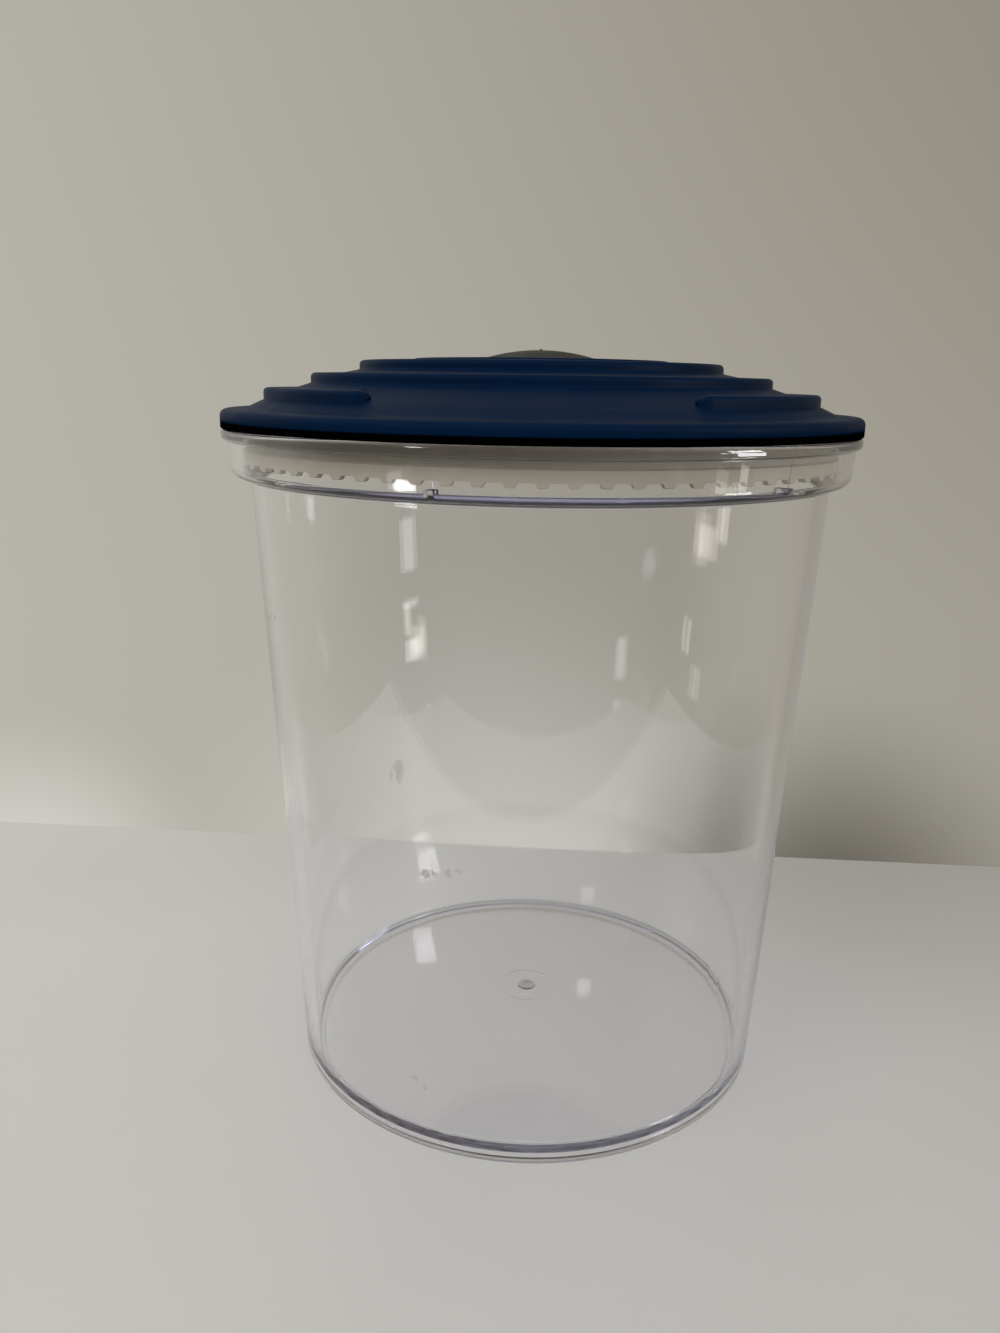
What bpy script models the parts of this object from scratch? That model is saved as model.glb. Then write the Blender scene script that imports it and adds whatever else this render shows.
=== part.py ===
"""Airtight canister: a clear moulded jar, a navy stepped lid, its toothed gasket and a vent button.

Metres, +Z up. The origin is the middle of the foot ring, on the surface that the canister stands on.
The front, where the lid's first ring is open, is -Y. Profiles are (radius, height) pairs, and a third
number is the fillet at that corner.
"""

import math

import bmesh
import bpy
from mathutils import Matrix, Vector

MM = 0.001
TURN = 2 * math.pi

# Fits and cuts
SEAT_GAP = 0.3 * MM             # between pieces that seat on or in each other
OVERRUN = 0.6 * MM              # how far cutters and joined forms reach past a face
MERGE = 0.01 * MM

# Jar
BODY_HEIGHT = 173.6 * MM        # base to the top of the lip
COLLAR_RADIUS = 79.65 * MM      # outer, just under the lip
COLLAR_WALL = 3.0 * MM
COLLAR_DRAFT = 0.8 * MM         # how much smaller the collar is at the ledge
COLLAR_DEPTH = 10.0 * MM        # top of the lip down to the ledge
COLLAR_CORNER = 4.2 * MM        # outer fillet of the shoulder
LIP_OVERHANG = 1.35 * MM
LIP_HEIGHT = 2.9 * MM
SHOULDER_STEP = 4.55 * MM       # foot of the collar in to the wall, outer radii
SHOULDER_THICKNESS = 1.9 * MM
BODY_TAPER = 8.9 * MM           # how much smaller the wall is at the base
BODY_WALL = 3.1 * MM
LEDGE_FILLET = 1.0 * MM
FLOOR_EDGE = 4.3 * MM           # top of the floor at the wall
FLOOR_FILLET = 0.8 * MM
FLOOR_BAND = 2.0 * MM           # flat band between the wall and the domed middle
FLOOR_RISE = 5.9 * MM
FLOOR_THICKNESS = 2.8 * MM      # in the middle
FOOT_WIDTH = 5.0 * MM
FOOT_HEIGHT = 1.3 * MM
FOOT_FILLET = 0.5 * MM          # outer edge of the foot
GATE_RADIUS = 2.4 * MM          # moulding gate's mark in the middle of the floor
GATE_HEIGHT = 0.3 * MM
LUG_COUNT = 6
LUG_FIRST_ANGLE = math.radians(-14.7)   # from the front
LUG_WIDTH = 2.0 * MM
LUG_LENGTH = 3.4 * MM
LUG_HEIGHT = 0.6 * MM

# Lid
LID_LIFT = 0.8 * MM             # top of the lip up to the flange
FLANGE_THICKNESS = 3.3 * MM
FLANGE_SHELF = 10.7 * MM        # flange's edge in to the first ring
SHELF_FOOT = 6.6 * MM           # flange's edge in to the foot of the slope under the first ring
SHELF_SLOPE = 0.5 * MM          # rise of the shelf from the flange's edge to there
SHELF_RISE = 2.4 * MM           # flange's top up to the foot of the first ring
RING_WIDTHS = (11.7 * MM, 12.2 * MM, 14.1 * MM)
RING_RISES = (2.8 * MM, 2.4 * MM, 2.2 * MM)
RING_FALLS = (1.3 * MM, 1.0 * MM, 0.3 * MM)
RING_FILLET = 1.1 * MM
TREAD_SHARE = 0.68              # share of a ring's width that is its nearly flat tread
TREAD_RISE = 0.2 * MM
TREAD_FILLET = 2.0 * MM
SLOPE_FILLET = 5.0 * MM
PLATEAU_STEP = 0.4 * MM
PLATEAU_CROWN = 0.4 * MM        # plateau's edge up to the well's rim
LID_WALL = 2.4 * MM
OPENING_HALF_ANGLE = math.radians(30)   # the first ring stops this far each side of the front
FADE_LENGTH = 8.0 * MM          # over which the first ring narrows to its nose
NOSE_WIDTH = 4.6 * MM
NOSE_LENGTH = 2.5 * MM          # rounded ends of the first ring

# Skirt and gasket
SKIRT_CLEARANCE = 4.0 * MM      # skirt to the collar's mouth, which the gasket fills
SKIRT_WALL = 2.0 * MM
BEAD_HEIGHT = 1.5 * MM          # bead round the skirt's lower edge, which holds the gasket
BEAD_REACH = 1.3 * MM
GASKET_LIP = 1.0 * MM           # gasket under the bead
GASKET_BAND = 2.6 * MM          # height of the gasket's lower, wider band
GASKET_RECESS = 0.8 * MM        # upper band back from the lower one
TOOTH_COUNT = 75
TOOTH_DEPTH = 1.0 * MM
TOOTH_ROOT = 0.1 * MM            # uncut part of the teeth, which keeps the ring's underside whole
TOOTH_CLEARANCE = 0.95 * MM     # lugs' tops up to the teeth
TOOTH_WIDTH_SHARE = 0.5

# Button and valve, measured down from the well's rim
BUTTON_RADIUS = 16.8 * MM
BUTTON_CLEARANCE = 0.5 * MM
BUTTON_PROUD = 2.1 * MM
BUTTON_DOME = 50.0 * MM
BUTTON_WALL = 1.5 * MM
BUTTON_HOOK = 1.4 * MM
BUTTON_HOOK_THICKNESS = 0.9 * MM
BUTTON_FILLET = 0.8 * MM
NIB_RADIUS = 0.4 * MM
NIB_HEIGHT = 0.3 * MM
PLUNGER_EDGE = 1.8 * MM
WELL_DEPTH = 12.8 * MM
WELL_WALL = 2.0 * MM
WELL_FLOOR = 2.2 * MM
WELL_FILLET = 0.6 * MM
STEM_RADIUS = 2.5 * MM
GUIDE_WALL = 1.2 * MM
GUIDE_HEIGHT = 2.6 * MM
VENT_COUNT = 6
VENT_RADIUS = 1.4 * MM
SPRING_WIRE = 0.8 * MM
SPRING_TURNS = 5
SPRING_END_PITCH = 0.95 * MM
SPRING_SIDE_GAP = 0.35 * MM     # spring to the guide, and to the vents
SEAT_WIDTH = 1.2 * MM
SEAT_HEIGHT = 0.8 * MM
SEAL_OVERLAP = 1.2 * MM         # seal past the seat's outer edge
SEAL_THICKNESS = 1.5 * MM
POPPET_THICKNESS = 1.8 * MM
POPPET_RIM = 0.4 * MM           # poppet past the seal
SCREW_RADIUS = 1.2 * MM
SCREW_LENGTH = 7.0 * MM
SCREW_HEAD_RADIUS = 2.8 * MM
SCREW_HEAD_HEIGHT = 1.6 * MM

# Facets
JAR_STEPS = 48
LID_STEPS = 40
SMALL_STEPS = 28
FILLET_STEPS = 2
DOME_STEPS = 4
NOSE_STEPS = 4
FADE_STEPS = 3
WIRE_POINTS_PER_TURN = 10

# Heights and radii that several pieces share
LEDGE_Z = BODY_HEIGHT - COLLAR_DEPTH
LIP_RADIUS = COLLAR_RADIUS + LIP_OVERHANG
MOUTH_RADIUS = COLLAR_RADIUS - COLLAR_WALL
SKIRT_RADIUS = MOUTH_RADIUS - SKIRT_CLEARANCE
FLANGE_Z = BODY_HEIGHT + LID_LIFT
RING_RADII = (
    LIP_RADIUS - FLANGE_SHELF,
    LIP_RADIUS - FLANGE_SHELF - RING_WIDTHS[0],
    LIP_RADIUS - FLANGE_SHELF - RING_WIDTHS[0] - RING_WIDTHS[1],
)
PLATEAU_RADIUS = RING_RADII[2] - RING_WIDTHS[2]
WELL_RADIUS = BUTTON_RADIUS + BUTTON_CLEARANCE


def ring_feet():
    """Heights above the flange's underside: each ring's foot from the outside in, then the plateau's."""
    feet = [FLANGE_THICKNESS + SHELF_RISE]
    for rise, fall in zip(RING_RISES, RING_FALLS):
        feet.append(feet[-1] + rise + fall)
    return feet


RING_FEET = ring_feet()
RIM_Z = RING_FEET[3] + PLATEAU_STEP + PLATEAU_CROWN


def collar_inner(z):
    """Inner radius of the collar at a height, which shrinks by the draft from the lip to the ledge."""
    return MOUTH_RADIUS - COLLAR_DRAFT * (BODY_HEIGHT - z) / COLLAR_DEPTH


def rounded(corners, closed):
    """The outline's points, with an arc of FILLET_STEPS at each corner that has a fillet."""
    count = len(corners)
    points = []
    for i, corner in enumerate(corners):
        here = Vector(corner[:2])
        if len(corner) < 3 or not (closed or 0 < i < count - 1):
            points.append(here)
            continue
        back = Vector(corners[i - 1][:2]) - here
        ahead = Vector(corners[(i + 1) % count][:2]) - here
        half_turn = (math.pi - back.angle(ahead)) / 2
        reach = min(corner[2] * math.tan(half_turn), back.length / 2, ahead.length / 2)
        radius = reach / math.tan(half_turn)
        middle = here + (back.normalized() + ahead.normalized()).normalized() * math.hypot(radius, reach)
        start = here + back.normalized() * reach - middle
        sweep = start.angle_signed(here + ahead.normalized() * reach - middle)
        for step in range(FILLET_STEPS + 1):
            points.append(middle + Matrix.Rotation(-sweep * step / FILLET_STEPS, 2) @ start)
    return points


def dome(radius, centre_z, edge_radius):
    """Points of a shallow dome from the axis out to its edge."""
    widest = math.asin(edge_radius / radius)
    angles = [widest * step / DOME_STEPS for step in range(DOME_STEPS + 1)]
    return [(radius * math.sin(a), centre_z + radius * math.cos(a)) for a in angles]


def low_dome(edge_radius, edge_z, rise):
    """Points of the dome that rises from its edge to the axis."""
    radius = (edge_radius ** 2 + rise ** 2) / (2 * rise)
    return dome(radius, edge_z + rise - radius, edge_radius)


def new_collection(name, parent):
    collection = bpy.data.collections.new(name)
    parent.children.link(collection)
    return collection


def new_object(name, mesh, collection, parent=None, place=(0, 0, 0)):
    obj = bpy.data.objects.new(name, mesh)
    obj.location = place
    obj.parent = parent
    collection.objects.link(obj)
    return obj


def turned(name, corners, steps, closed, collection, parent=None):
    """A profile turned about Z. An open profile starts and ends on the axis."""
    points = rounded(corners, closed)
    links = [(i, i + 1) for i in range(len(points) - 1)]
    if closed:
        links.append((len(points) - 1, 0))
    mesh = bpy.data.meshes.new(name)
    mesh.from_pydata([(p[0], 0, p[1]) for p in points], links, [])
    obj = new_object(name, mesh, collection, parent)
    screw = obj.modifiers.new("Turn", "SCREW")
    screw.angle = TURN
    screw.steps = steps
    screw.render_steps = steps
    screw.use_merge_vertices = True
    screw.merge_threshold = MERGE
    screw.use_smooth_shade = True
    return obj


def boxes_around(name, count, first_angle, size, place, collection, parent=None):
    """One mesh of equal boxes around the Z axis. place is each box's middle when it lies at the front."""
    shape = bmesh.new()
    for i in range(count):
        spin = Matrix.Rotation(first_angle + TURN * i / count, 4, "Z")
        matrix = spin @ Matrix.Translation(place) @ Matrix.Diagonal((*size, 1))
        bmesh.ops.create_cube(shape, size=1, matrix=matrix)
    return mesh_object(name, shape, collection, parent)


def cylinders_around(name, count, radius, height, place, collection, parent=None):
    """One mesh of equal upright cylinders around the Z axis."""
    shape = bmesh.new()
    for i in range(count):
        matrix = Matrix.Rotation(TURN * i / count, 4, "Z") @ Matrix.Translation(place)
        bmesh.ops.create_cone(
            shape, cap_ends=True, segments=12, radius1=radius, radius2=radius, depth=height, matrix=matrix
        )
    return mesh_object(name, shape, collection, parent)


def mesh_object(name, shape, collection, parent):
    mesh = bpy.data.meshes.new(name)
    shape.to_mesh(mesh)
    shape.free()
    return new_object(name, mesh, collection, parent)


def boolean(obj, operation, other):
    """Joins or cuts obj by other, which stays as a hidden helper."""
    modifier = obj.modifiers.new(other.name, "BOOLEAN")
    modifier.operation = operation
    modifier.object = other
    other.hide_render = True
    other.display_type = "WIRE"


def paint(obj, colour, roughness, metallic=0.0, transmission=0.0):
    material = bpy.data.materials.new(obj.name)
    material.use_nodes = True
    shader = material.node_tree.nodes["Principled BSDF"]
    shader.inputs["Base Color"].default_value = (*colour, 1)
    shader.inputs["Roughness"].default_value = roughness
    shader.inputs["Metallic"].default_value = metallic
    shader.inputs["Transmission Weight"].default_value = transmission
    material.diffuse_color = (*colour, 1)
    obj.data.materials.append(material)
    for modifier in obj.modifiers:
        if modifier.type == "BOOLEAN" and not modifier.object.data.materials:
            modifier.object.data.materials.append(material)


def canister_body(parts, cutters):
    """The clear jar, as one moulding: floor, foot, tapered wall, shoulder, collar, lip and ledge lugs."""
    wall_top_z = LEDGE_Z - SHOULDER_THICKNESS
    collar_foot_radius = COLLAR_RADIUS - COLLAR_DRAFT
    wall_top_radius = collar_foot_radius - SHOULDER_STEP
    base_radius = wall_top_radius - BODY_TAPER
    lip_foot_z = BODY_HEIGHT - LIP_HEIGHT
    floor_radius = base_radius - BODY_WALL - FLOOR_BAND
    floor_middle = FLOOR_EDGE + FLOOR_RISE
    foot_inner = base_radius - FOOT_WIDTH
    jar = turned("canister_body", [
        (0, floor_middle + GATE_HEIGHT),
        (GATE_RADIUS, floor_middle + GATE_HEIGHT),
        (GATE_RADIUS + GATE_HEIGHT, floor_middle),
        *low_dome(floor_radius, FLOOR_EDGE, FLOOR_RISE)[1:],
        (base_radius - BODY_WALL, FLOOR_EDGE, FLOOR_FILLET),
        (wall_top_radius - BODY_WALL, LEDGE_Z, LEDGE_FILLET),
        (collar_inner(LEDGE_Z), LEDGE_Z, LEDGE_FILLET),
        (MOUTH_RADIUS, BODY_HEIGHT, LIP_HEIGHT / 4),
        (LIP_RADIUS, BODY_HEIGHT, LIP_HEIGHT / 2),
        (LIP_RADIUS, lip_foot_z, LIP_HEIGHT / 2),
        (COLLAR_RADIUS, lip_foot_z),
        (collar_foot_radius, wall_top_z, COLLAR_CORNER),
        (wall_top_radius, wall_top_z),
        (base_radius, 0, FOOT_FILLET),
        (foot_inner, 0),
        *reversed(low_dome(foot_inner, FOOT_HEIGHT, floor_middle - FLOOR_THICKNESS - FOOT_HEIGHT)),
    ], JAR_STEPS, False, parts)
    lug_outer = collar_inner(LEDGE_Z) + OVERRUN
    lugs = boxes_around(
        "ledge_lugs",
        LUG_COUNT,
        LUG_FIRST_ANGLE,
        (LUG_WIDTH, LUG_LENGTH + OVERRUN, LUG_HEIGHT + OVERRUN),
        (0, (LUG_LENGTH + OVERRUN) / 2 - lug_outer, LEDGE_Z + (LUG_HEIGHT - OVERRUN) / 2),
        cutters,
    )
    boolean(jar, "UNION", lugs)
    paint(jar, (0.86, 0.86, 0.9), 0.05, transmission=1.0)


def tooth_tip():
    """Height of the gasket's teeth, from the flange's underside, just clear of the lugs."""
    return LEDGE_Z + LUG_HEIGHT + TOOTH_CLEARANCE - FLANGE_Z


def skirt_bottom():
    """Height of the skirt's lower edge, from the flange's underside, with the gasket's lip under it."""
    return tooth_tip() + TOOTH_DEPTH + GASKET_LIP + SEAT_GAP


def lid_shell(parts, cutters, lid):
    """The navy lid: flange, rings, plateau, button well, valve seat, vents and the gasket's skirt."""
    ring_2_foot, ring_3_foot, plateau_foot = RING_FEET[1:]
    ring_2_top = ring_2_foot + RING_RISES[1]
    ring_3_top = ring_3_foot + RING_RISES[2]
    floor_top = RIM_Z - WELL_DEPTH
    floor_under = floor_top - WELL_FLOOR
    bore = STEM_RADIUS + SEAT_GAP
    guide = bore + GUIDE_WALL
    well_outer = WELL_RADIUS + WELL_WALL
    seat_inner = seat_inner_radius()
    seat_outer = seat_inner + SEAT_WIDTH
    bead_top = skirt_bottom() + BEAD_HEIGHT
    skirt_inner = SKIRT_RADIUS - SKIRT_WALL
    slope = (ring_2_foot - RING_FEET[0]) / RING_WIDTHS[0]
    under_slope = RING_FEET[0] + slope * (RING_RADII[0] - skirt_inner) - LID_WALL
    shell = turned("lid_shell", [
        (bore, floor_top + GUIDE_HEIGHT),
        (guide, floor_top + GUIDE_HEIGHT),
        (guide, floor_top),
        (WELL_RADIUS, floor_top, WELL_FILLET),
        (WELL_RADIUS, RIM_Z, WELL_FILLET),
        (PLATEAU_RADIUS, plateau_foot + PLATEAU_STEP),
        (PLATEAU_RADIUS + PLATEAU_STEP, plateau_foot),
        (RING_RADII[2], ring_3_top, RING_FILLET),
        (RING_RADII[2], ring_3_foot),
        (RING_RADII[1] - TREAD_SHARE * RING_WIDTHS[1], ring_2_top + TREAD_RISE, TREAD_FILLET),
        (RING_RADII[1], ring_2_top, RING_FILLET),
        (RING_RADII[1], ring_2_foot),
        (RING_RADII[0], RING_FEET[0], SLOPE_FILLET),
        (LIP_RADIUS - SHELF_FOOT, FLANGE_THICKNESS + SHELF_SLOPE, SLOPE_FILLET / 2),
        (LIP_RADIUS, FLANGE_THICKNESS, FLANGE_THICKNESS / 2),
        (LIP_RADIUS, 0, FLANGE_THICKNESS / 4),
        (SKIRT_RADIUS, 0),
        (SKIRT_RADIUS, bead_top),
        (SKIRT_RADIUS + BEAD_REACH, bead_top),
        (SKIRT_RADIUS + BEAD_REACH, skirt_bottom()),
        (skirt_inner, skirt_bottom()),
        (skirt_inner, under_slope),
        (RING_RADII[1] - LID_WALL, ring_2_foot - LID_WALL),
        (RING_RADII[1] - LID_WALL, ring_2_top - LID_WALL),
        (RING_RADII[2] - LID_WALL, ring_3_foot - LID_WALL),
        (RING_RADII[2] - LID_WALL, ring_3_top - LID_WALL),
        (well_outer, RIM_Z - LID_WALL),
        (well_outer, floor_under),
        (seat_outer, floor_under),
        (seat_outer, floor_under - SEAT_HEIGHT),
        (seat_inner, floor_under - SEAT_HEIGHT),
        (seat_inner, floor_under),
        (bore, floor_under),
    ], LID_STEPS, True, parts, lid)
    boolean(shell, "UNION", first_ring(cutters, lid))
    vents = cylinders_around(
        "vents",
        VENT_COUNT,
        VENT_RADIUS,
        WELL_FLOOR + 2 * OVERRUN,
        (vent_circle_radius(), 0, floor_top - WELL_FLOOR / 2),
        cutters,
        lid,
    )
    boolean(shell, "DIFFERENCE", vents)
    paint(shell, (0.008, 0.025, 0.09), 0.35)


def slope_z(radius):
    """Height of the smooth slope that the first ring stands on, which shows in the ring's opening."""
    return RING_FEET[0] + (RING_FEET[1] - RING_FEET[0]) * (RING_RADII[0] - radius) / RING_WIDTHS[0]


def first_ring_section(draw):
    """The first ring's outline. draw is 0 along the ring and 1 at its nose, which is narrower."""
    outer, foot = RING_RADII[0], RING_FEET[0]
    inner = (RING_RADII[1] - OVERRUN) * (1 - draw) + (outer - NOSE_WIDTH) * draw
    top = foot + RING_RISES[0]
    return rounded([
        (inner, slope_z(inner) - draw * OVERRUN / 2),
        (outer - TREAD_SHARE * (outer - inner), top + TREAD_RISE, TREAD_FILLET),
        (outer, top, RING_FILLET),
        (outer, foot - OVERRUN),
        (inner, slope_z(inner) - OVERRUN),
    ], True)


def first_ring_stations():
    """Sections of the first ring, as (angle from the tip, draw, size), from one nose to the other."""
    middle_radius = RING_RADII[0] - NOSE_WIDTH / 2
    span = TURN - 2 * OPENING_HALF_ANGLE
    nose = NOSE_LENGTH / middle_radius
    fade = FADE_LENGTH / middle_radius
    run = span - 2 * (nose + fade)
    steps = round(run / TURN * LID_STEPS)
    quarter = [math.pi / 2 * i / NOSE_STEPS for i in range(NOSE_STEPS + 1)]
    # The first section is a tenth of full size, which leaves the nose a small flat tip.
    start = [(nose * (1 - math.cos(a)), 1, max(math.sin(a), 0.1)) for a in quarter]
    for i in range(1, FADE_STEPS + 1):
        share = i / FADE_STEPS
        start.append((nose + fade * share, 1 - share ** 2 * (3 - 2 * share), 1))
    along = [(nose + fade + run * i / steps, 0, 1) for i in range(1, steps)]
    return start + along + [(span - angle, draw, size) for angle, draw, size in reversed(start)]


def first_ring(cutters, lid):
    """The outermost ring, open at the front: a loft that narrows and closes in a rounded nose at each end."""
    middle = Vector((RING_RADII[0] - NOSE_WIDTH / 2, RING_FEET[0] + RING_RISES[0] / 2))
    shape = bmesh.new()
    rings = []
    for angle, draw, size in first_ring_stations():
        spin = Matrix.Rotation(-math.pi / 2 + OPENING_HALF_ANGLE + angle, 3, "Z")
        points = [middle + (point - middle) * size for point in first_ring_section(draw)]
        rings.append([shape.verts.new(spin @ Vector((p.x, 0, p.y))) for p in points])
    for ring, following in zip(rings, rings[1:]):
        for i in range(len(ring)):
            shape.faces.new((ring[i - 1], ring[i], following[i], following[i - 1]))
    shape.faces.new(rings[0])
    shape.faces.new(reversed(rings[-1]))
    bmesh.ops.recalc_face_normals(shape, faces=shape.faces)
    return mesh_object("first_ring", shape, cutters, lid)


def spring_radius():
    """Radius of the middle of the spring's wire, round the stem's guide."""
    return STEM_RADIUS + SEAT_GAP + GUIDE_WALL + SPRING_SIDE_GAP + SPRING_WIRE / 2


def vent_circle_radius():
    """Radius of the circle of vents, just outside the spring."""
    return spring_radius() + SPRING_WIRE / 2 + SPRING_SIDE_GAP + VENT_RADIUS


def seat_inner_radius():
    """The valve's seat is a bead just outside the vents."""
    return vent_circle_radius() + VENT_RADIUS + OVERRUN


def lid_gasket(parts, cutters, lid):
    """The soft ring hooked round the skirt's bead: a narrower upper band, a wider lower one and teeth."""
    tip = tooth_tip()
    root = tip + TOOTH_DEPTH
    step = root + GASKET_BAND
    bead_bottom = skirt_bottom() - SEAT_GAP
    bead_top = skirt_bottom() + BEAD_HEIGHT + SEAT_GAP
    skirt_side = SKIRT_RADIUS + SEAT_GAP
    bead_side = skirt_side + BEAD_REACH
    band = collar_inner(FLANGE_Z + tip) - SEAT_GAP
    upper = band - GASKET_RECESS
    ring = turned("lid_gasket", [
        (skirt_side, -SEAT_GAP),
        (upper, -SEAT_GAP, GASKET_RECESS / 2),
        (upper, step + GASKET_RECESS / 2),
        (band, step, GASKET_RECESS / 4),
        (band, tip),
        (bead_side, tip),
        (bead_side, root),
        (skirt_side, root),
        (skirt_side, bead_bottom),
        (bead_side, bead_bottom),
        (bead_side, bead_top),
        (skirt_side, bead_top),
    ], TOOTH_COUNT, True, parts, lid)
    gaps = boxes_around(
        "tooth_gaps",
        TOOTH_COUNT,
        0,
        (
            TURN * band / TOOTH_COUNT * (1 - TOOTH_WIDTH_SHARE),
            band - bead_side + 2 * OVERRUN,
            TOOTH_DEPTH - TOOTH_ROOT + OVERRUN,
        ),
        (0, -(band + bead_side) / 2, tip + (TOOTH_DEPTH - TOOTH_ROOT - OVERRUN) / 2),
        cutters,
        lid,
    )
    boolean(ring, "DIFFERENCE", gaps)
    paint(ring, (0.36, 0.33, 0.26), 0.6)


def plunger_underside():
    """Height of the plunger's underside, from the well's rim. The dome's edge is PLUNGER_EDGE above it."""
    radius = BUTTON_DOME - BUTTON_WALL - SEAT_GAP
    edge = BUTTON_RADIUS - BUTTON_WALL - SEAT_GAP
    return BUTTON_PROUD - BUTTON_DOME + math.sqrt(radius ** 2 - edge ** 2) - PLUNGER_EDGE


def valve_button(parts, valve):
    """The soft cap: a shallow dome, a side wall and a hook that snaps under the plunger's edge."""
    centre = BUTTON_PROUD - BUTTON_DOME
    outside = dome(BUTTON_DOME, centre, BUTTON_RADIUS)
    inner_radius = BUTTON_RADIUS - BUTTON_WALL
    inside = dome(BUTTON_DOME - BUTTON_WALL, centre, inner_radius)
    hook_top = plunger_underside() - SEAT_GAP
    hook_bottom = hook_top - BUTTON_HOOK_THICKNESS
    edge_radius, edge_z = outside[-1]
    cap = turned("valve_button", [
        (0, BUTTON_PROUD + NIB_HEIGHT),
        (NIB_RADIUS / 2, BUTTON_PROUD + NIB_HEIGHT),
        (NIB_RADIUS, BUTTON_PROUD),
        *outside[1:-1],
        (edge_radius, edge_z, BUTTON_FILLET),
        (BUTTON_RADIUS, hook_bottom, BUTTON_FILLET),
        (inner_radius - BUTTON_HOOK, hook_bottom),
        (inner_radius - BUTTON_HOOK, hook_top),
        (inner_radius, hook_top),
        *reversed(inside),
    ], SMALL_STEPS, False, parts, valve)
    paint(cap, (0.1, 0.095, 0.07), 0.55)


def stem_bottom():
    """Height of the stem's end, level with the seal's underside, from the well's rim."""
    return -WELL_DEPTH - WELL_FLOOR - SEAT_HEIGHT - SEAT_GAP - SEAL_THICKNESS


def screw_bore_top():
    """The screw's blind bore in the stem ends a seat gap past the screw."""
    return poppet_bottom() - SEAT_GAP + SCREW_LENGTH + SEAT_GAP


def poppet_bottom():
    return stem_bottom() - SEAT_GAP - POPPET_THICKNESS


def valve_plunger(parts, valve):
    """The hard disc inside the button, with a spring cup under it and the stem through the lid."""
    edge = BUTTON_RADIUS - BUTTON_WALL - SEAT_GAP
    under = plunger_underside()
    cup_inner = spring_radius() + SPRING_WIRE / 2 + SPRING_SIDE_GAP
    cup_outer = cup_inner + GUIDE_WALL
    bore = SCREW_RADIUS + SEAT_GAP
    disc = turned("valve_plunger", [
        *dome(BUTTON_DOME - BUTTON_WALL - SEAT_GAP, BUTTON_PROUD - BUTTON_DOME, edge),
        (edge, under),
        (cup_outer, under),
        (cup_outer, under - SPRING_WIRE * 2),
        (cup_inner, under - SPRING_WIRE * 2),
        (cup_inner, under),
        (STEM_RADIUS, under),
        (STEM_RADIUS, stem_bottom()),
        (bore, stem_bottom()),
        (bore, screw_bore_top()),
        (0, screw_bore_top()),
    ], SMALL_STEPS, False, parts, valve)
    paint(disc, (0.75, 0.75, 0.72), 0.4)


def valve_spring(parts, lid):
    """The compression spring, one open tube, with a close turn at each end."""
    bottom = RIM_Z - WELL_DEPTH + SEAT_GAP + SPRING_WIRE / 2
    top = RIM_Z + plunger_underside() - SEAT_GAP - SPRING_WIRE / 2
    open_pitch = (top - bottom - 2 * SPRING_END_PITCH) / (SPRING_TURNS - 2)
    count = SPRING_TURNS * WIRE_POINTS_PER_TURN
    points = []
    for i in range(count + 1):
        turns = i / WIRE_POINTS_PER_TURN
        from_end = min(turns, SPRING_TURNS - turns)
        rise = SPRING_END_PITCH * from_end + (open_pitch - SPRING_END_PITCH) * max(from_end - 1, 0)
        z = bottom + rise if turns < SPRING_TURNS / 2 else top - rise
        points.append((spring_radius() * math.cos(TURN * turns), spring_radius() * math.sin(TURN * turns), z))
    curve = bpy.data.curves.new("valve_spring", "CURVE")
    curve.dimensions = "3D"
    curve.bevel_depth = SPRING_WIRE / 2
    curve.bevel_resolution = 1
    curve.use_fill_caps = True
    spline = curve.splines.new("POLY")
    spline.points.add(count)
    for point, place in zip(spline.points, points):
        point.co = (*place, 1)
    spring = new_object("valve_spring", curve, parts, lid)
    paint(spring, (0.6, 0.6, 0.6), 0.25, metallic=1.0)


def valve_seal(parts, valve):
    """The soft washer that the poppet holds against the seat."""
    top = stem_bottom() + SEAL_THICKNESS
    outer = seat_inner_radius() + SEAT_WIDTH + SEAL_OVERLAP
    seal = turned("valve_seal", [
        (STEM_RADIUS + SEAT_GAP, top),
        (outer, top, SEAL_THICKNESS / 4),
        (outer, stem_bottom(), SEAL_THICKNESS / 4),
        (STEM_RADIUS + SEAT_GAP, stem_bottom()),
    ], SMALL_STEPS, True, parts, valve)
    paint(seal, (0.1, 0.095, 0.07), 0.55)


def valve_poppet(parts, valve):
    """The hard disc under the seal, thicker round the screw."""
    top = stem_bottom() - SEAT_GAP
    outer = seat_inner_radius() + SEAT_WIDTH + SEAL_OVERLAP + POPPET_RIM
    hub = SCREW_HEAD_RADIUS + POPPET_RIM
    poppet = turned("valve_poppet", [
        (SCREW_RADIUS + SEAT_GAP, top),
        (outer, top, POPPET_THICKNESS / 4),
        (outer, top - POPPET_THICKNESS / 2, POPPET_THICKNESS / 4),
        (hub + POPPET_THICKNESS, top - POPPET_THICKNESS / 2),
        (hub, poppet_bottom()),
        (SCREW_RADIUS + SEAT_GAP, poppet_bottom()),
    ], SMALL_STEPS, True, parts, valve)
    paint(poppet, (0.75, 0.75, 0.72), 0.4)


def poppet_screw(parts, valve):
    """The pan head screw, from below, through the poppet into the stem."""
    seat = poppet_bottom() - SEAT_GAP
    screw = turned("poppet_screw", [
        (0, seat + SCREW_LENGTH),
        (SCREW_RADIUS / 2, seat + SCREW_LENGTH),
        (SCREW_RADIUS, seat + SCREW_LENGTH - SCREW_RADIUS),
        (SCREW_RADIUS, seat),
        (SCREW_HEAD_RADIUS, seat),
        (SCREW_HEAD_RADIUS, seat - SCREW_HEAD_HEIGHT, SCREW_HEAD_HEIGHT / 2),
        (0, seat - SCREW_HEAD_HEIGHT),
    ], SMALL_STEPS, False, parts, valve)
    paint(screw, (0.6, 0.6, 0.6), 0.25, metallic=1.0)


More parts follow.
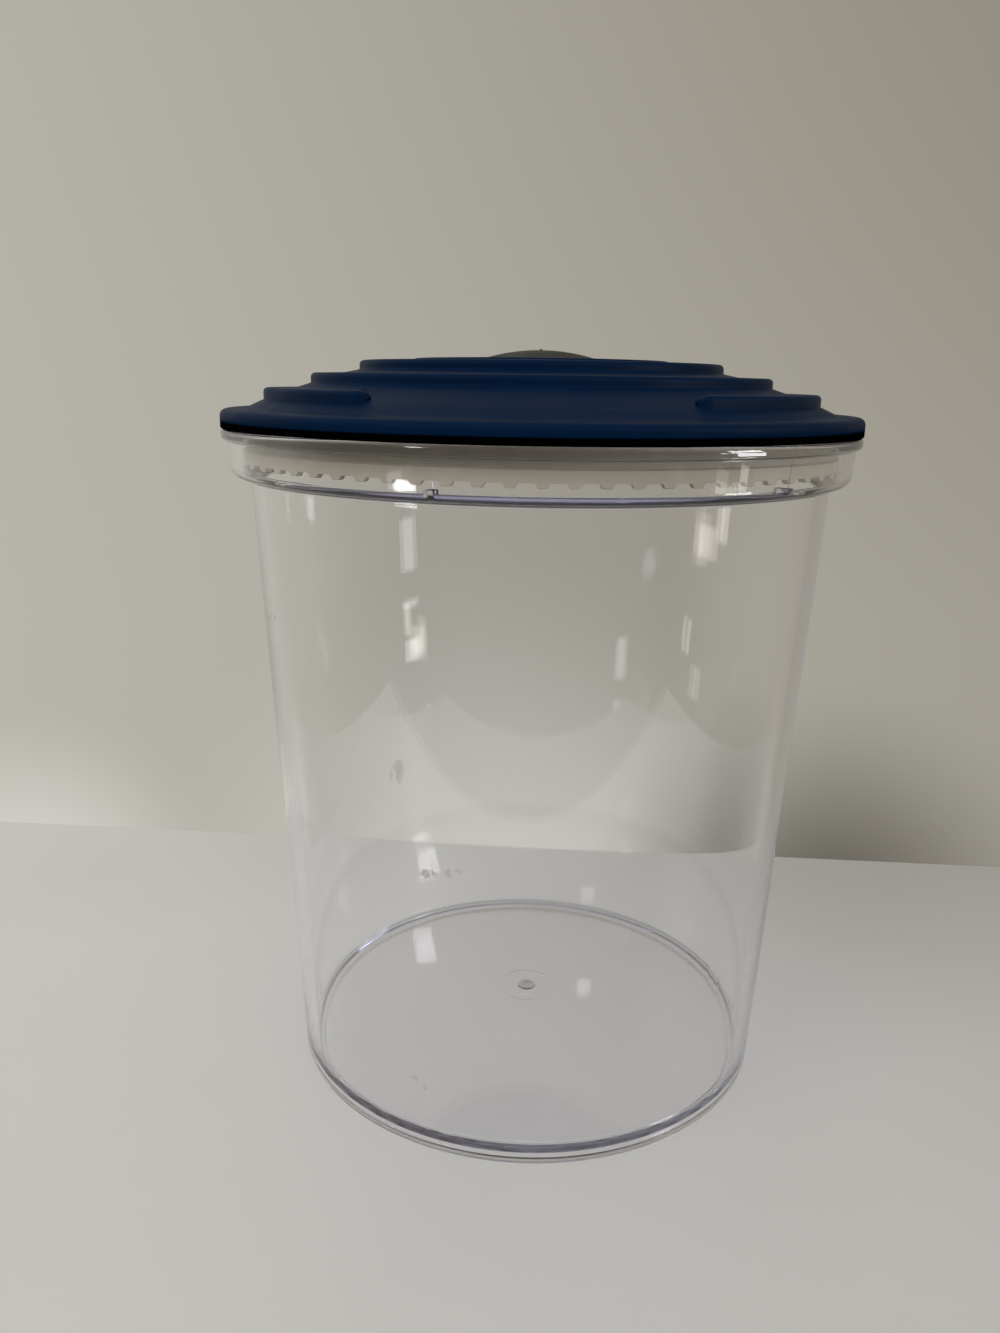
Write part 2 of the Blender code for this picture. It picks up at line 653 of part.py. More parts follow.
def main():
    for obj in list(bpy.data.objects):
        bpy.data.objects.remove(obj)
    scene = bpy.context.scene
    parts = new_collection("airtight_canister", scene.collection)
    cutters = new_collection("airtight_canister_cutters", scene.collection)
    lid = new_object("lid_axis", None, parts, place=(0, 0, FLANGE_Z))
    valve = new_object("valve_axis", None, parts, lid, (0, 0, RIM_Z))
    canister_body(parts, cutters)
    lid_shell(parts, cutters, lid)
    lid_gasket(parts, cutters, lid)
    valve_button(parts, valve)
    valve_plunger(parts, valve)
    valve_spring(parts, lid)
    valve_seal(parts, valve)
    valve_poppet(parts, valve)
    poppet_screw(parts, valve)
    bpy.context.view_layer.update()


main()
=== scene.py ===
"""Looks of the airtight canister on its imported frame: a clear jar, a navy stepped lid, a gasket and a button.

Metres, in the frame's axes: +Z up, the lid's opening at -Y. Every piece is made again here, finer than the
packed one and at the same sizes. Outlines are (radius, height) pairs, and a third number is the fillet at
that corner. Angles round the axis start at the front and grow towards +X.
"""

import math

import bmesh
import bpy
import numpy as np
from mathutils import Matrix, Vector


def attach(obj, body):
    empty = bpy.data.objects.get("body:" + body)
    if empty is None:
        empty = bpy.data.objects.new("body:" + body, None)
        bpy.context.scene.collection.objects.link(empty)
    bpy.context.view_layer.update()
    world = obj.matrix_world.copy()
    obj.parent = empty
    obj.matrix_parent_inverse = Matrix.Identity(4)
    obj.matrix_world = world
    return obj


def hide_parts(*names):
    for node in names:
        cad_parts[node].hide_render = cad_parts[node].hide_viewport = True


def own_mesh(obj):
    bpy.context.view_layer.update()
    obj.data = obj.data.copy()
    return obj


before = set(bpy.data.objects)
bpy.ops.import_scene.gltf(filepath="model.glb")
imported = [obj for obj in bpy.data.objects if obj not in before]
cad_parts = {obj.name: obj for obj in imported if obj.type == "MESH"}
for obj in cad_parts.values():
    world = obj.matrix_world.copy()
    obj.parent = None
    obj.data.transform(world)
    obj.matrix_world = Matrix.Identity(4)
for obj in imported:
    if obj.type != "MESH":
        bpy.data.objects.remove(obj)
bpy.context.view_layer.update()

MM = 0.001
TURN = 2 * math.pi

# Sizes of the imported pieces
SEAT_GAP = 0.3 * MM
OVERRUN = 0.6 * MM
BODY_HEIGHT = 173.6 * MM
COLLAR_RADIUS = 79.65 * MM
COLLAR_WALL = 3.0 * MM
COLLAR_DRAFT = 0.8 * MM
COLLAR_DEPTH = 10.0 * MM
COLLAR_CORNER = 4.2 * MM
LIP_OVERHANG = 1.35 * MM
LIP_HEIGHT = 2.9 * MM
SHOULDER_STEP = 4.55 * MM
SHOULDER_THICKNESS = 1.9 * MM
BODY_TAPER = 8.9 * MM
BODY_WALL = 3.1 * MM
LEDGE_FILLET = 1.0 * MM
FLOOR_EDGE = 4.3 * MM
FLOOR_FILLET = 0.8 * MM
FLOOR_BAND = 2.0 * MM
FLOOR_RISE = 5.9 * MM
FLOOR_THICKNESS = 2.8 * MM
FOOT_WIDTH = 5.0 * MM
FOOT_HEIGHT = 1.3 * MM
FOOT_FILLET = 0.5 * MM
GATE_RADIUS = 2.4 * MM
GATE_HEIGHT = 0.3 * MM
LUG_COUNT = 6
LUG_FIRST_ANGLE = math.radians(-14.7)
LUG_WIDTH = 2.0 * MM
LUG_LENGTH = 3.4 * MM
LUG_HEIGHT = 0.6 * MM
LID_LIFT = 0.8 * MM
FLANGE_THICKNESS = 3.3 * MM
FLANGE_SHELF = 10.7 * MM
SHELF_FOOT = 6.6 * MM
SHELF_SLOPE = 0.5 * MM
SHELF_RISE = 2.4 * MM
RING_WIDTHS = (11.7 * MM, 12.2 * MM, 14.1 * MM)
RING_RISES = (2.8 * MM, 2.4 * MM, 2.2 * MM)
RING_FALLS = (1.3 * MM, 1.0 * MM, 0.3 * MM)
RING_FILLET = 1.1 * MM
TREAD_SHARE = 0.68
TREAD_RISE = 0.2 * MM
TREAD_FILLET = 2.0 * MM
SLOPE_FILLET = 5.0 * MM
PLATEAU_STEP = 0.4 * MM
PLATEAU_CROWN = 0.4 * MM
LID_WALL = 2.4 * MM
OPENING_HALF_ANGLE = math.radians(30)
FADE_LENGTH = 8.0 * MM
NOSE_WIDTH = 4.6 * MM
NOSE_LENGTH = 2.5 * MM
SKIRT_CLEARANCE = 4.0 * MM
SKIRT_WALL = 2.0 * MM
BEAD_HEIGHT = 1.5 * MM
BEAD_REACH = 1.3 * MM
GASKET_LIP = 1.0 * MM
GASKET_BAND = 2.6 * MM
GASKET_RECESS = 0.8 * MM
TOOTH_COUNT = 75
TOOTH_DEPTH = 1.0 * MM
TOOTH_CLEARANCE = 0.95 * MM
BUTTON_RADIUS = 16.8 * MM
BUTTON_CLEARANCE = 0.5 * MM
BUTTON_PROUD = 2.1 * MM
BUTTON_DOME = 50.0 * MM
BUTTON_WALL = 1.5 * MM
BUTTON_HOOK = 1.4 * MM
BUTTON_HOOK_THICKNESS = 0.9 * MM
BUTTON_FILLET = 0.8 * MM
NIB_RADIUS = 0.4 * MM
NIB_HEIGHT = 0.3 * MM
PLUNGER_EDGE = 1.8 * MM
WELL_DEPTH = 12.8 * MM
WELL_WALL = 2.0 * MM
WELL_FLOOR = 2.2 * MM
WELL_FILLET = 0.6 * MM
STEM_RADIUS = 2.5 * MM
GUIDE_WALL = 1.2 * MM
GUIDE_HEIGHT = 2.6 * MM
VENT_COUNT = 6
VENT_RADIUS = 1.4 * MM
SPRING_WIRE = 0.8 * MM
SPRING_TURNS = 5
SPRING_END_PITCH = 0.95 * MM
SPRING_START_SHARE = 0.25       # of a turn, from the front
SPRING_SIDE_GAP = 0.35 * MM
SEAT_WIDTH = 1.2 * MM
SEAT_HEIGHT = 0.8 * MM
SEAL_OVERLAP = 1.2 * MM
SEAL_THICKNESS = 1.5 * MM
POPPET_THICKNESS = 1.8 * MM
POPPET_RIM = 0.4 * MM
SCREW_RADIUS = 1.2 * MM
SCREW_LENGTH = 7.0 * MM
SCREW_HEAD_RADIUS = 2.8 * MM
SCREW_HEAD_HEIGHT = 1.6 * MM

# Details that only the looks have
GATE_DIMPLE_FLAT = GATE_RADIUS * 0.35
GATE_DIMPLE_EDGE = GATE_RADIUS * 0.6
GATE_DIMPLE_HEIGHT = GATE_HEIGHT / 3
WITNESS_RADIUS = 8.0 * MM       # faint ring in the floor, round the moulding gate's mark
WITNESS_DEPTH = 0.06 * MM
WITNESS_WIDTH = 0.4 * MM
LEDGE_DROP = 0.8 * MM           # of the ledge's inner edge
LEDGE_ROUND = 3.3 * MM
COLLAR_FOOT_FILLET = 0.3 * MM
RIM_DROP = 1.05 * MM            # of the flange's rim, which hides the gap over the lip
RIM_WIDTH = 0.55 * MM
ROOT_FILLET = 0.4 * MM          # at the foot of each ring's wall
LUG_TIP_SLOPE = LUG_HEIGHT / 3
LUG_SIDE_SLOPE = LUG_HEIGHT / 6
TOOTH_HALF_TIP = 1.15 * MM
TOOTH_HALF_ROOT = 1.6 * MM
TOOTH_CORNER = 0.4 * MM
TOOTH_TIP_SHARES = (0, 0.6, 0.72, 0.82, 0.9, 0.96, 1.0)     # places of points along half a tooth's tip
TOOTH_FLANK_SHARES = (0.35, 0.7, 0.9, 1.0, 1.12)            # and up its side
RECESS_LENGTH = 3.0 * MM        # cross recess in the screw's head
RECESS_WIDTH = 0.6 * MM
RECESS_DEPTH = 0.9 * MM

# Marks on the jar's wall: angle in degrees, height and radius in millimetres, and strength
WALL_MARKS = (
    (-22.6, 103.0, 1.4, 0.7), (-23.0, 101.3, 2.0, 0.8), (-23.5, 99.6, 1.9, 0.7),
    (-18.0, 77.0, 1.5, 1.0), (-16.0, 77.7, 1.1, 1.0), (-13.0, 78.3, 1.4, 0.8), (-11.5, 78.8, 1.0, 0.7),
    (-63.0, 128.0, 1.3, 0.9), (-60.5, 130.0, 1.0, 0.8), (-22.0, 19.8, 1.2, 0.5), (-19.5, 18.0, 1.2, 0.5),
)

# Fineness
STEPS = 288
SMALL_STEPS = 128
FILLET_STEPS = 8
DOME_STEPS = 24
NOSE_STEPS = 24
NOSE_START = 0.02               # radians, so that the nose's first section isn't a point
LUG_SIDE_STEPS = (-2, -1, -0.5, 0, 0.5, 1, 2)
VENT_SIDES = 32
WIRE_STEPS = 48
WIRE_SIDES = 16
GUARD = 0.12 * MM               # the extra points beside each corner, which keep its shading to itself
WELD = 0.001 * MM               # points nearer than this are one
SHARP_ANGLE = math.radians(32)

# Heights and radii that several pieces share
LEDGE_Z = BODY_HEIGHT - COLLAR_DEPTH
LIP_RADIUS = COLLAR_RADIUS + LIP_OVERHANG
MOUTH_RADIUS = COLLAR_RADIUS - COLLAR_WALL
FLOOR_RADIUS = COLLAR_RADIUS - COLLAR_DRAFT - SHOULDER_STEP - BODY_TAPER - BODY_WALL
FLANGE_Z = BODY_HEIGHT + LID_LIFT
RING_1 = LIP_RADIUS - FLANGE_SHELF
RING_2 = RING_1 - RING_WIDTHS[0]
RING_3 = RING_2 - RING_WIDTHS[1]
PLATEAU_RADIUS = RING_3 - RING_WIDTHS[2]
FOOT_1 = FLANGE_Z + FLANGE_THICKNESS + SHELF_RISE
FOOT_2 = FOOT_1 + RING_RISES[0] + RING_FALLS[0]
FOOT_3 = FOOT_2 + RING_RISES[1] + RING_FALLS[1]
PLATEAU_FOOT = FOOT_3 + RING_RISES[2] + RING_FALLS[2]
RIM_Z = PLATEAU_FOOT + PLATEAU_STEP + PLATEAU_CROWN
WELL_RADIUS = BUTTON_RADIUS + BUTTON_CLEARANCE
SPRING_RADIUS = STEM_RADIUS + SEAT_GAP + GUIDE_WALL + SPRING_SIDE_GAP + SPRING_WIRE / 2
VENT_CIRCLE = SPRING_RADIUS + SPRING_WIRE / 2 + SPRING_SIDE_GAP + VENT_RADIUS
SEAT_INNER = VENT_CIRCLE + VENT_RADIUS + OVERRUN
TOOTH_TIP = LEDGE_Z + LUG_HEIGHT + TOOTH_CLEARANCE
TOOTH_ROOT = TOOTH_TIP + TOOTH_DEPTH
SKIRT_BOTTOM = TOOTH_ROOT + GASKET_LIP + SEAT_GAP
BEAD_TOP = SKIRT_BOTTOM + BEAD_HEIGHT
SKIRT_RADIUS = MOUTH_RADIUS - SKIRT_CLEARANCE
PLUNGER_EDGE_RADIUS = BUTTON_RADIUS - BUTTON_WALL - SEAT_GAP
PLUNGER_UNDER = RIM_Z + BUTTON_PROUD - BUTTON_DOME - PLUNGER_EDGE + math.sqrt(
    (BUTTON_DOME - BUTTON_WALL - SEAT_GAP) ** 2 - PLUNGER_EDGE_RADIUS ** 2
)
SPRING_BOTTOM = RIM_Z - WELL_DEPTH + SEAT_GAP
SPRING_TOP = PLUNGER_UNDER - SEAT_GAP
STEM_BOTTOM = RIM_Z - WELL_DEPTH - WELL_FLOOR - SEAT_HEIGHT - SEAT_GAP - SEAL_THICKNESS
POPPET_BOTTOM = STEM_BOTTOM - SEAT_GAP - POPPET_THICKNESS


# Shapes

def outline(corners, closed):
    """The outline's points, with an arc at each corner that has a fillet, and guard points beside corners."""
    count = len(corners)
    points = []
    for i, corner in enumerate(corners):
        here = Vector(corner[:2])
        if len(corner) < 3 or not (closed or 0 < i < count - 1):
            points.append(here)
            continue
        back = Vector(corners[i - 1][:2]) - here
        ahead = Vector(corners[(i + 1) % count][:2]) - here
        half_turn = (math.pi - back.angle(ahead)) / 2
        reach = min(corner[2] * math.tan(half_turn), back.length / 2, ahead.length / 2)
        radius = reach / math.tan(half_turn)
        middle = here + (back.normalized() + ahead.normalized()).normalized() * math.hypot(radius, reach)
        start = here + back.normalized() * reach - middle
        sweep = start.angle_signed(here + ahead.normalized() * reach - middle)
        for step in range(FILLET_STEPS + 1):
            points.append(middle + Matrix.Rotation(-sweep * step / FILLET_STEPS, 2) @ start)
    guarded = []
    following = points[1:] + points[:1] if closed else points[1:]
    for here, ahead in zip(points, following):
        guarded.append(here)
        run = ahead - here
        if run.length > 4 * GUARD:
            guarded.append(here + run.normalized() * GUARD)
            guarded.append(ahead - run.normalized() * GUARD)
    if not closed:
        guarded.append(points[-1])
    return np.array([tuple(point) for point in guarded])


def dome(radius, centre_z, edge_radius):
    """Points of a shallow dome from the axis out to its edge."""
    widest = math.asin(edge_radius / radius)
    angles = [widest * step / DOME_STEPS for step in range(DOME_STEPS + 1)]
    return [(radius * math.sin(a), centre_z + radius * math.cos(a)) for a in angles]


def low_dome(edge_radius, edge_z, rise):
    """Points of the dome that rises from its edge to the axis."""
    radius = (edge_radius ** 2 + rise ** 2) / (2 * rise)
    return dome(radius, edge_z + rise - radius, edge_radius)


def even_angles(steps):
    """Angles for a full turn in even steps."""
    return np.arange(steps) * TURN / steps


def around(points, angles):
    """Sections of (x, y, z) points: one outline for all angles, or one for each, stood up round the axis."""
    points = np.broadcast_to(points, (len(angles), *points.shape[-2:]))
    across, out = np.sin(angles)[:, None], np.cos(angles)[:, None]
    return np.stack([points[..., 0] * across, -points[..., 0] * out, points[..., 1]], axis=-1)


def skin(name, sections, closed, full_turn=True):
    """A smooth mesh through the sections. closed joins a section's last point to its first."""
    count, length = sections.shape[:2]
    here = np.arange(count * length).reshape(count, length)
    ahead = np.roll(here, -1, axis=0)
    quads = np.stack([here, np.roll(here, -1, axis=1), np.roll(ahead, -1, axis=1), ahead], axis=-1)
    if not closed:
        quads = quads[:, :-1]
    if not full_turn:
        quads = quads[:-1]
    mesh = bpy.data.meshes.new(name)
    mesh.from_pydata(sections.reshape(-1, 3).tolist(), [], quads.reshape(-1, 4).tolist())
    shape = bmesh.new()
    shape.from_mesh(mesh)
    bmesh.ops.remove_doubles(shape, verts=shape.verts, dist=WELD)
    if not full_turn:
        bmesh.ops.holes_fill(shape, edges=[edge for edge in shape.edges if edge.is_boundary])
    bmesh.ops.recalc_face_normals(shape, faces=shape.faces)
    shape.to_mesh(mesh)
    shape.free()
    smooth(mesh)
    return mesh


def smooth(mesh):
    """Smooth shading, but for sharp edges."""
    mesh.polygons.foreach_set("use_smooth", [True] * len(mesh.polygons))
    mesh.set_sharp_from_angle(angle=SHARP_ANGLE)


def turned(name, corners, closed, steps=SMALL_STEPS):
    """A mesh turned from one outline."""
    return skin(name, around(outline(corners, closed), even_angles(steps)), closed)


def cut(mesh, cutter):
    """The mesh with the cutter's shape taken out of it. The cutter is used up."""
    target = bpy.data.objects.new("target", mesh)
    tool = bpy.data.objects.new("tool", cutter)
    for obj in (target, tool):
        bpy.context.scene.collection.objects.link(obj)
    modifier = target.modifiers.new("Cut", "BOOLEAN")
    modifier.operation = "DIFFERENCE"
    modifier.object = tool
    bpy.context.view_layer.update()
    result = bpy.data.meshes.new_from_object(target.evaluated_get(bpy.context.evaluated_depsgraph_get()))
    bpy.data.objects.remove(target)
    bpy.data.objects.remove(tool)
    smooth(result)
    return result


def joined(name, meshes):
    """One mesh that holds copies of several."""
    shape = bmesh.new()
    for mesh in meshes:
        shape.from_mesh(mesh)
    result = bpy.data.meshes.new(name)
    shape.to_mesh(result)
    shape.free()
    smooth(result)
    return result


def ease(share):
    """0 to 1 with a soft start and end."""
    share = np.clip(share, 0, 1)
    return share * share * (3 - 2 * share)


def collar_inner(z):
    """The collar's inner radius at a height."""
    return MOUTH_RADIUS - COLLAR_DRAFT * (BODY_HEIGHT - z) / COLLAR_DEPTH


def piece(name, mesh, material, body, node):
    """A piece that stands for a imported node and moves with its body."""
    obj = bpy.data.objects.new(name, mesh)
    bpy.context.scene.collection.objects.link(obj)
    mesh.materials.clear()
    mesh.materials.append(material)
    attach(obj, body)
    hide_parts(node)
    return obj


# Materials. Tones are linear red, green and blue, and where there are two, the material varies between them.

CLEAR_TONE = (1, 1, 1)
SCUFF_TONE = (0.62, 0.6, 0.62)
# Painted shade: the tones of the dark lines at the floor's corner and at the shoulder's fold
FLOOR_EDGE_SHADE_TONE = (0.42, 0.42, 0.48)
SHOULDER_SHADE_TONE = (0.035, 0.03, 0.045)
INSIDE_TONE = (0.8, 0.79, 0.9)
INSIDE_DENSITY = 18.0           # per metre
THROUGH_TONE = (0.985, 0.985, 0.99)
NAVY_TONES = ((0.0009, 0.0088, 0.029), (0.0021, 0.0128, 0.041))
# Painted shade: the black of the flange's foot
UNDER_SHADE_TONE = (0.0006, 0.0006, 0.0005)
GASKET_TONES = ((0.46, 0.42, 0.335), (0.54, 0.495, 0.4))
BUTTON_TONES = ((0.022, 0.023, 0.017), (0.034, 0.035, 0.027))
VALVE_TONES = ((0.7, 0.7, 0.67), (0.78, 0.78, 0.75))
STEEL_TONES = ((0.53, 0.53, 0.54), (0.66, 0.65, 0.63))
BOARD_TONES = ((0.56, 0.558, 0.54), (0.6, 0.598, 0.58))
# The clear plastic's painted shade lines, at the shoulder's fold and the floor's corner, as heights or radii
# from and to, and how softly they end
SHOULDER_SHADE_HEIGHTS = (LEDGE_Z - 2.1 * MM, LEDGE_Z - 1.0 * MM)
SHOULDER_SHADE_SOFTNESS = 0.4 * MM
FLOOR_EDGE_SHADE_HEIGHTS = (FLOOR_EDGE - 0.3 * MM, FLOOR_EDGE + 0.45 * MM)
FLOOR_EDGE_SHADE_SOFTNESS = 0.3 * MM
FLOOR_EDGE_SHADE_RADII = (FLOOR_RADIUS - 0.9 * MM, FLOOR_RADIUS - 0.4 * MM)
# Its marks, haze and roughness
GATE_MARK_SOFTNESS = 0.2 * MM
MARK_CORE_SHARE = 0.5           # of a mark's radius, where it is whole
MARK_EDGE_SHARE = 0.6           # of a mark's radius, over which it ends
MARK_TEAR_SPAN = (0.42, 0.5)
HAZE_SPAN = (0.45, 0.75)
HAZE_ROUGHNESS = 0.03
HAIRLINE_ROUGHNESS = 0.15
MARK_ROUGHNESS = 0.3
CLEAR_ROUGHNESS = 0.02
# Painted shade: the navy flange goes from black to navy, and from dull to satin, between these heights at the
# foot of its edge
UNDER_SHADE_HEIGHTS = (FLANGE_Z + 0.4 * MM, FLANGE_Z + 0.9 * MM)
SHEEN_SHADE_HEIGHTS = (FLANGE_Z + 0.6 * MM, FLANGE_Z + FLANGE_THICKNESS)
SHEEN = 0.055
RUB_POLISH = 0.1                # how much less rough the rubs are
NOISE_SPAN = (0.3, 0.7)         # most of a noise's values
DUST_SPAN = (0.5, 0.8)
NOISE_MIDDLE = 0.5


class Graph:
    """A node tree, with a short call for each kind of node that the materials and the surroundings share."""

    def __init__(self, tree):
        self.nodes = tree.nodes
        self.links = tree.links

    def feed(self, socket, value):
        """Links an output to an input, or sets a plain number on it."""
        if isinstance(value, bpy.types.NodeSocket):
            self.links.new(value, socket)
        else:
            socket.default_value = value

    def maths(self, operation, *values):
        node = self.nodes.new("ShaderNodeMath")
        node.operation = operation
        for socket, value in zip(node.inputs, values):
            self.feed(socket, value)
        return node.outputs["Value"]

    def spread(self, source, low, high, to_low=0.0, to_high=1.0, easing="SMOOTHSTEP"):
        """source from low to high becomes to_low to to_high, and no further."""
        node = self.nodes.new("ShaderNodeMapRange")
        node.interpolation_type = easing
        for socket, value in zip(node.inputs, (source, low, high, to_low, to_high)):
            self.feed(socket, value)
        return node.outputs["Result"]

    def distance(self, place, point):
        """How far a place is from a fixed point."""
        node = self.nodes.new("ShaderNodeVectorMath")
        node.operation = "DISTANCE"
        self.links.new(place, node.inputs[0])
        node.inputs[1].default_value = point
        return node.outputs["Value"]

    def blend(self, share, first, second):
        """The first tone where share is 0 and the second where it is 1. Either may be a node's output."""
        node = self.nodes.new("ShaderNodeMix")
        node.data_type = "RGBA"
        self.feed(node.inputs["Factor"], share)
        for socket, tone in zip([s for s in node.inputs if s.type == "RGBA"], (first, second)):
            self.feed(socket, (*tone, 1) if isinstance(tone, tuple) else tone)
        return next(s for s in node.outputs if s.type == "RGBA")


class Shader(Graph):
    """A material's nodes, which go by the place on the piece."""

    def __init__(self, name, **settings):
        self.material = bpy.data.materials.new(name)
        self.material.use_nodes = True
        super().__init__(self.material.node_tree)
        self.surface = self.nodes["Principled BSDF"]
        self.place = self.nodes.new("ShaderNodeTexCoord").outputs["Object"]
        for socket, value in settings.items():
            self.surface.inputs[socket.replace("_", " ")].default_value = value

    def drive(self, socket, value):
        self.feed(self.surface.inputs[socket], value)

    def noise(self, per_metre, detail=2.0, stretch=(1, 1, 1)):
        """A noise from about 0 to 1. A larger stretch makes it finer along that axis."""
        mapping = self.nodes.new("ShaderNodeMapping")
        mapping.inputs["Scale"].default_value = stretch
        self.links.new(self.place, mapping.inputs["Vector"])
        texture = self.nodes.new("ShaderNodeTexNoise")
        texture.inputs["Scale"].default_value = per_metre
        texture.inputs["Detail"].default_value = detail
        self.links.new(mapping.outputs["Vector"], texture.inputs["Vector"])
        return texture.outputs["Fac"]

    def band(self, source, low, high, soft):
        """1 where source is between low and high, and 0 where it is further off than soft."""
        rise = self.spread(source, low - soft, low)
        return self.maths("MULTIPLY", rise, self.spread(source, high, high + soft, 1.0, 0.0))

    def height(self):
        """The height over the surface that the canister stands on."""
        split = self.nodes.new("ShaderNodeSeparateXYZ")
        self.links.new(self.place, split.inputs["Vector"])
        return split.outputs["Z"]

    def radius(self):
        """The distance from the canister's axis."""
        flat = self.nodes.new("ShaderNodeVectorMath")
        flat.operation = "MULTIPLY"
        self.links.new(self.place, flat.inputs[0])
        flat.inputs[1].default_value = (1, 1, 0)
        length = self.nodes.new("ShaderNodeVectorMath")
        length.operation = "LENGTH"
        self.links.new(flat.outputs["Vector"], length.inputs[0])
        return length.outputs["Value"]

    def near(self, point, radius, soft):
        """1 within radius of a point and 0 beyond radius + soft."""
        return self.spread(self.distance(self.place, point), radius, radius + soft, 1.0, 0.0)

    def over_noise(self, noise, low, high):
        """A value that goes from low to high over a noise."""
        return self.spread(noise, *NOISE_SPAN, low, high)

    def hairlines(self, per_metre, width, cover, stretch=(1, 1, 1), broader_share=0.6, softness=0.04):
        """Fine curved scratches: a noise's middle line, kept only where a broader noise is above cover."""
        noise = self.noise(per_metre, 1.0, stretch)
        line = self.maths("ABSOLUTE", self.maths("SUBTRACT", noise, NOISE_MIDDLE))
        broader = self.noise(per_metre * broader_share, 1.0, stretch)
        kept = self.spread(broader, cover, cover + softness)
        return self.maths("MULTIPLY", self.spread(line, 0.0, width, 1.0, 0.0), kept)

    def bump(self, height, depth, under=None):
        """Raises the surface by up to depth, over another bump where one is given."""
        node = self.nodes.new("ShaderNodeBump")
        node.inputs["Distance"].default_value = depth
        self.feed(node.inputs["Height"], height)
        if under is not None:
            self.links.new(under, node.inputs["Normal"])
        return node.outputs["Normal"]

    def grain(self, per_metre, depth, detail=2.0, stretch=(1, 1, 1)):
        """A fine raised texture."""
        return self.bump(self.noise(per_metre, detail, stretch), depth)


def on_wall(degrees, height):
    """A place on the jar's outer wall, by its angle and its height in millimetres."""
    radius = COLLAR_RADIUS - COLLAR_DRAFT - SHOULDER_STEP - BODY_TAPER * (1 - height * MM / LEDGE_Z)
    angle = math.radians(degrees)
    return radius * math.sin(angle), -radius * math.cos(angle), height * MM


def clear_plastic():
    """Clear moulded plastic: slightly violet in thick parts, with a few marks, faint hairlines and haze, and
    painted shade lines at the shoulder's fold and the floor's corner.
    """
    shader = Shader("clear_plastic", Transmission_Weight=1.0, IOR=1.57)
    ragged = shader.noise(420.0, detail=3.0, stretch=(1, 1, 0.5))
    marks = shader.near((0, 0, FLOOR_EDGE + FLOOR_RISE), GATE_RADIUS, GATE_MARK_SOFTNESS)
    for degrees, height, radius, strength in WALL_MARKS:
        core, edge = radius * MM * MARK_CORE_SHARE, radius * MM * MARK_EDGE_SHARE
        spot = shader.near(on_wall(degrees, height), core, edge)
        torn = shader.spread(ragged, *MARK_TEAR_SPAN, 0.0, strength)
        marks = shader.maths("MAXIMUM", marks, shader.maths("MULTIPLY", spot, torn))
    hairlines = shader.hairlines(38.0, width=0.003, cover=0.66, stretch=(1, 1, 1.4))
    haze = shader.spread(shader.noise(22.0, detail=3.0), *HAZE_SPAN, 0.0, HAZE_ROUGHNESS)
    roughness = shader.maths("MAXIMUM", shader.maths("MULTIPLY", hairlines, HAIRLINE_ROUGHNESS), haze)
    roughness = shader.maths("MAXIMUM", roughness, shader.maths("MULTIPLY", marks, MARK_ROUGHNESS))
    shader.drive("Roughness", shader.maths("ADD", roughness, CLEAR_ROUGHNESS))
    # Painted shade: dark, violet lines are painted into the base colour at the shoulder's fold and round the
    # floor's outer corner, where light bent in the clear plastic makes dark lines.
    shoulder_shade = shader.band(shader.height(), *SHOULDER_SHADE_HEIGHTS, SHOULDER_SHADE_SOFTNESS)
    outside = shader.spread(shader.radius(), *FLOOR_EDGE_SHADE_RADII)
    corner = shader.band(shader.height(), *FLOOR_EDGE_SHADE_HEIGHTS, FLOOR_EDGE_SHADE_SOFTNESS)
    marked = shader.blend(marks, CLEAR_TONE, SCUFF_TONE)
    marked = shader.blend(shader.maths("MULTIPLY", outside, corner), marked, FLOOR_EDGE_SHADE_TONE)
    shader.drive("Base Color", shader.blend(shoulder_shade, marked, SHOULDER_SHADE_TONE))
    slow = shader.grain(16.0, depth=0.25 * MM, detail=1.0, stretch=(1, 1, 0.35))
    shader.drive("Normal", shader.bump(hairlines, depth=0.002 * MM, under=slow))
    # Lamps, and light that lands on other pieces, go straight through, so the jar casts a pale shadow.
    path = shader.nodes.new("ShaderNodeLightPath")
    clear = shader.nodes.new("ShaderNodeBsdfTransparent")
    clear.inputs["Color"].default_value = (*THROUGH_TONE, 1)
    mix = shader.nodes.new("ShaderNodeMixShader")
    straight = shader.maths("MAXIMUM", path.outputs["Is Shadow Ray"], path.outputs["Is Diffuse Ray"])
    shader.links.new(straight, mix.inputs["Fac"])
    shader.links.new(shader.surface.outputs["BSDF"], mix.inputs[1])
    shader.links.new(clear.outputs["BSDF"], mix.inputs[2])
    output = shader.nodes["Material Output"]
    shader.links.new(mix.outputs["Shader"], output.inputs["Surface"])
    inside = shader.nodes.new("ShaderNodeVolumeAbsorption")
    inside.inputs["Color"].default_value = (*INSIDE_TONE, 1)
    inside.inputs["Density"].default_value = INSIDE_DENSITY
    shader.links.new(inside.outputs["Volume"], output.inputs["Volume"])
    return shader.material


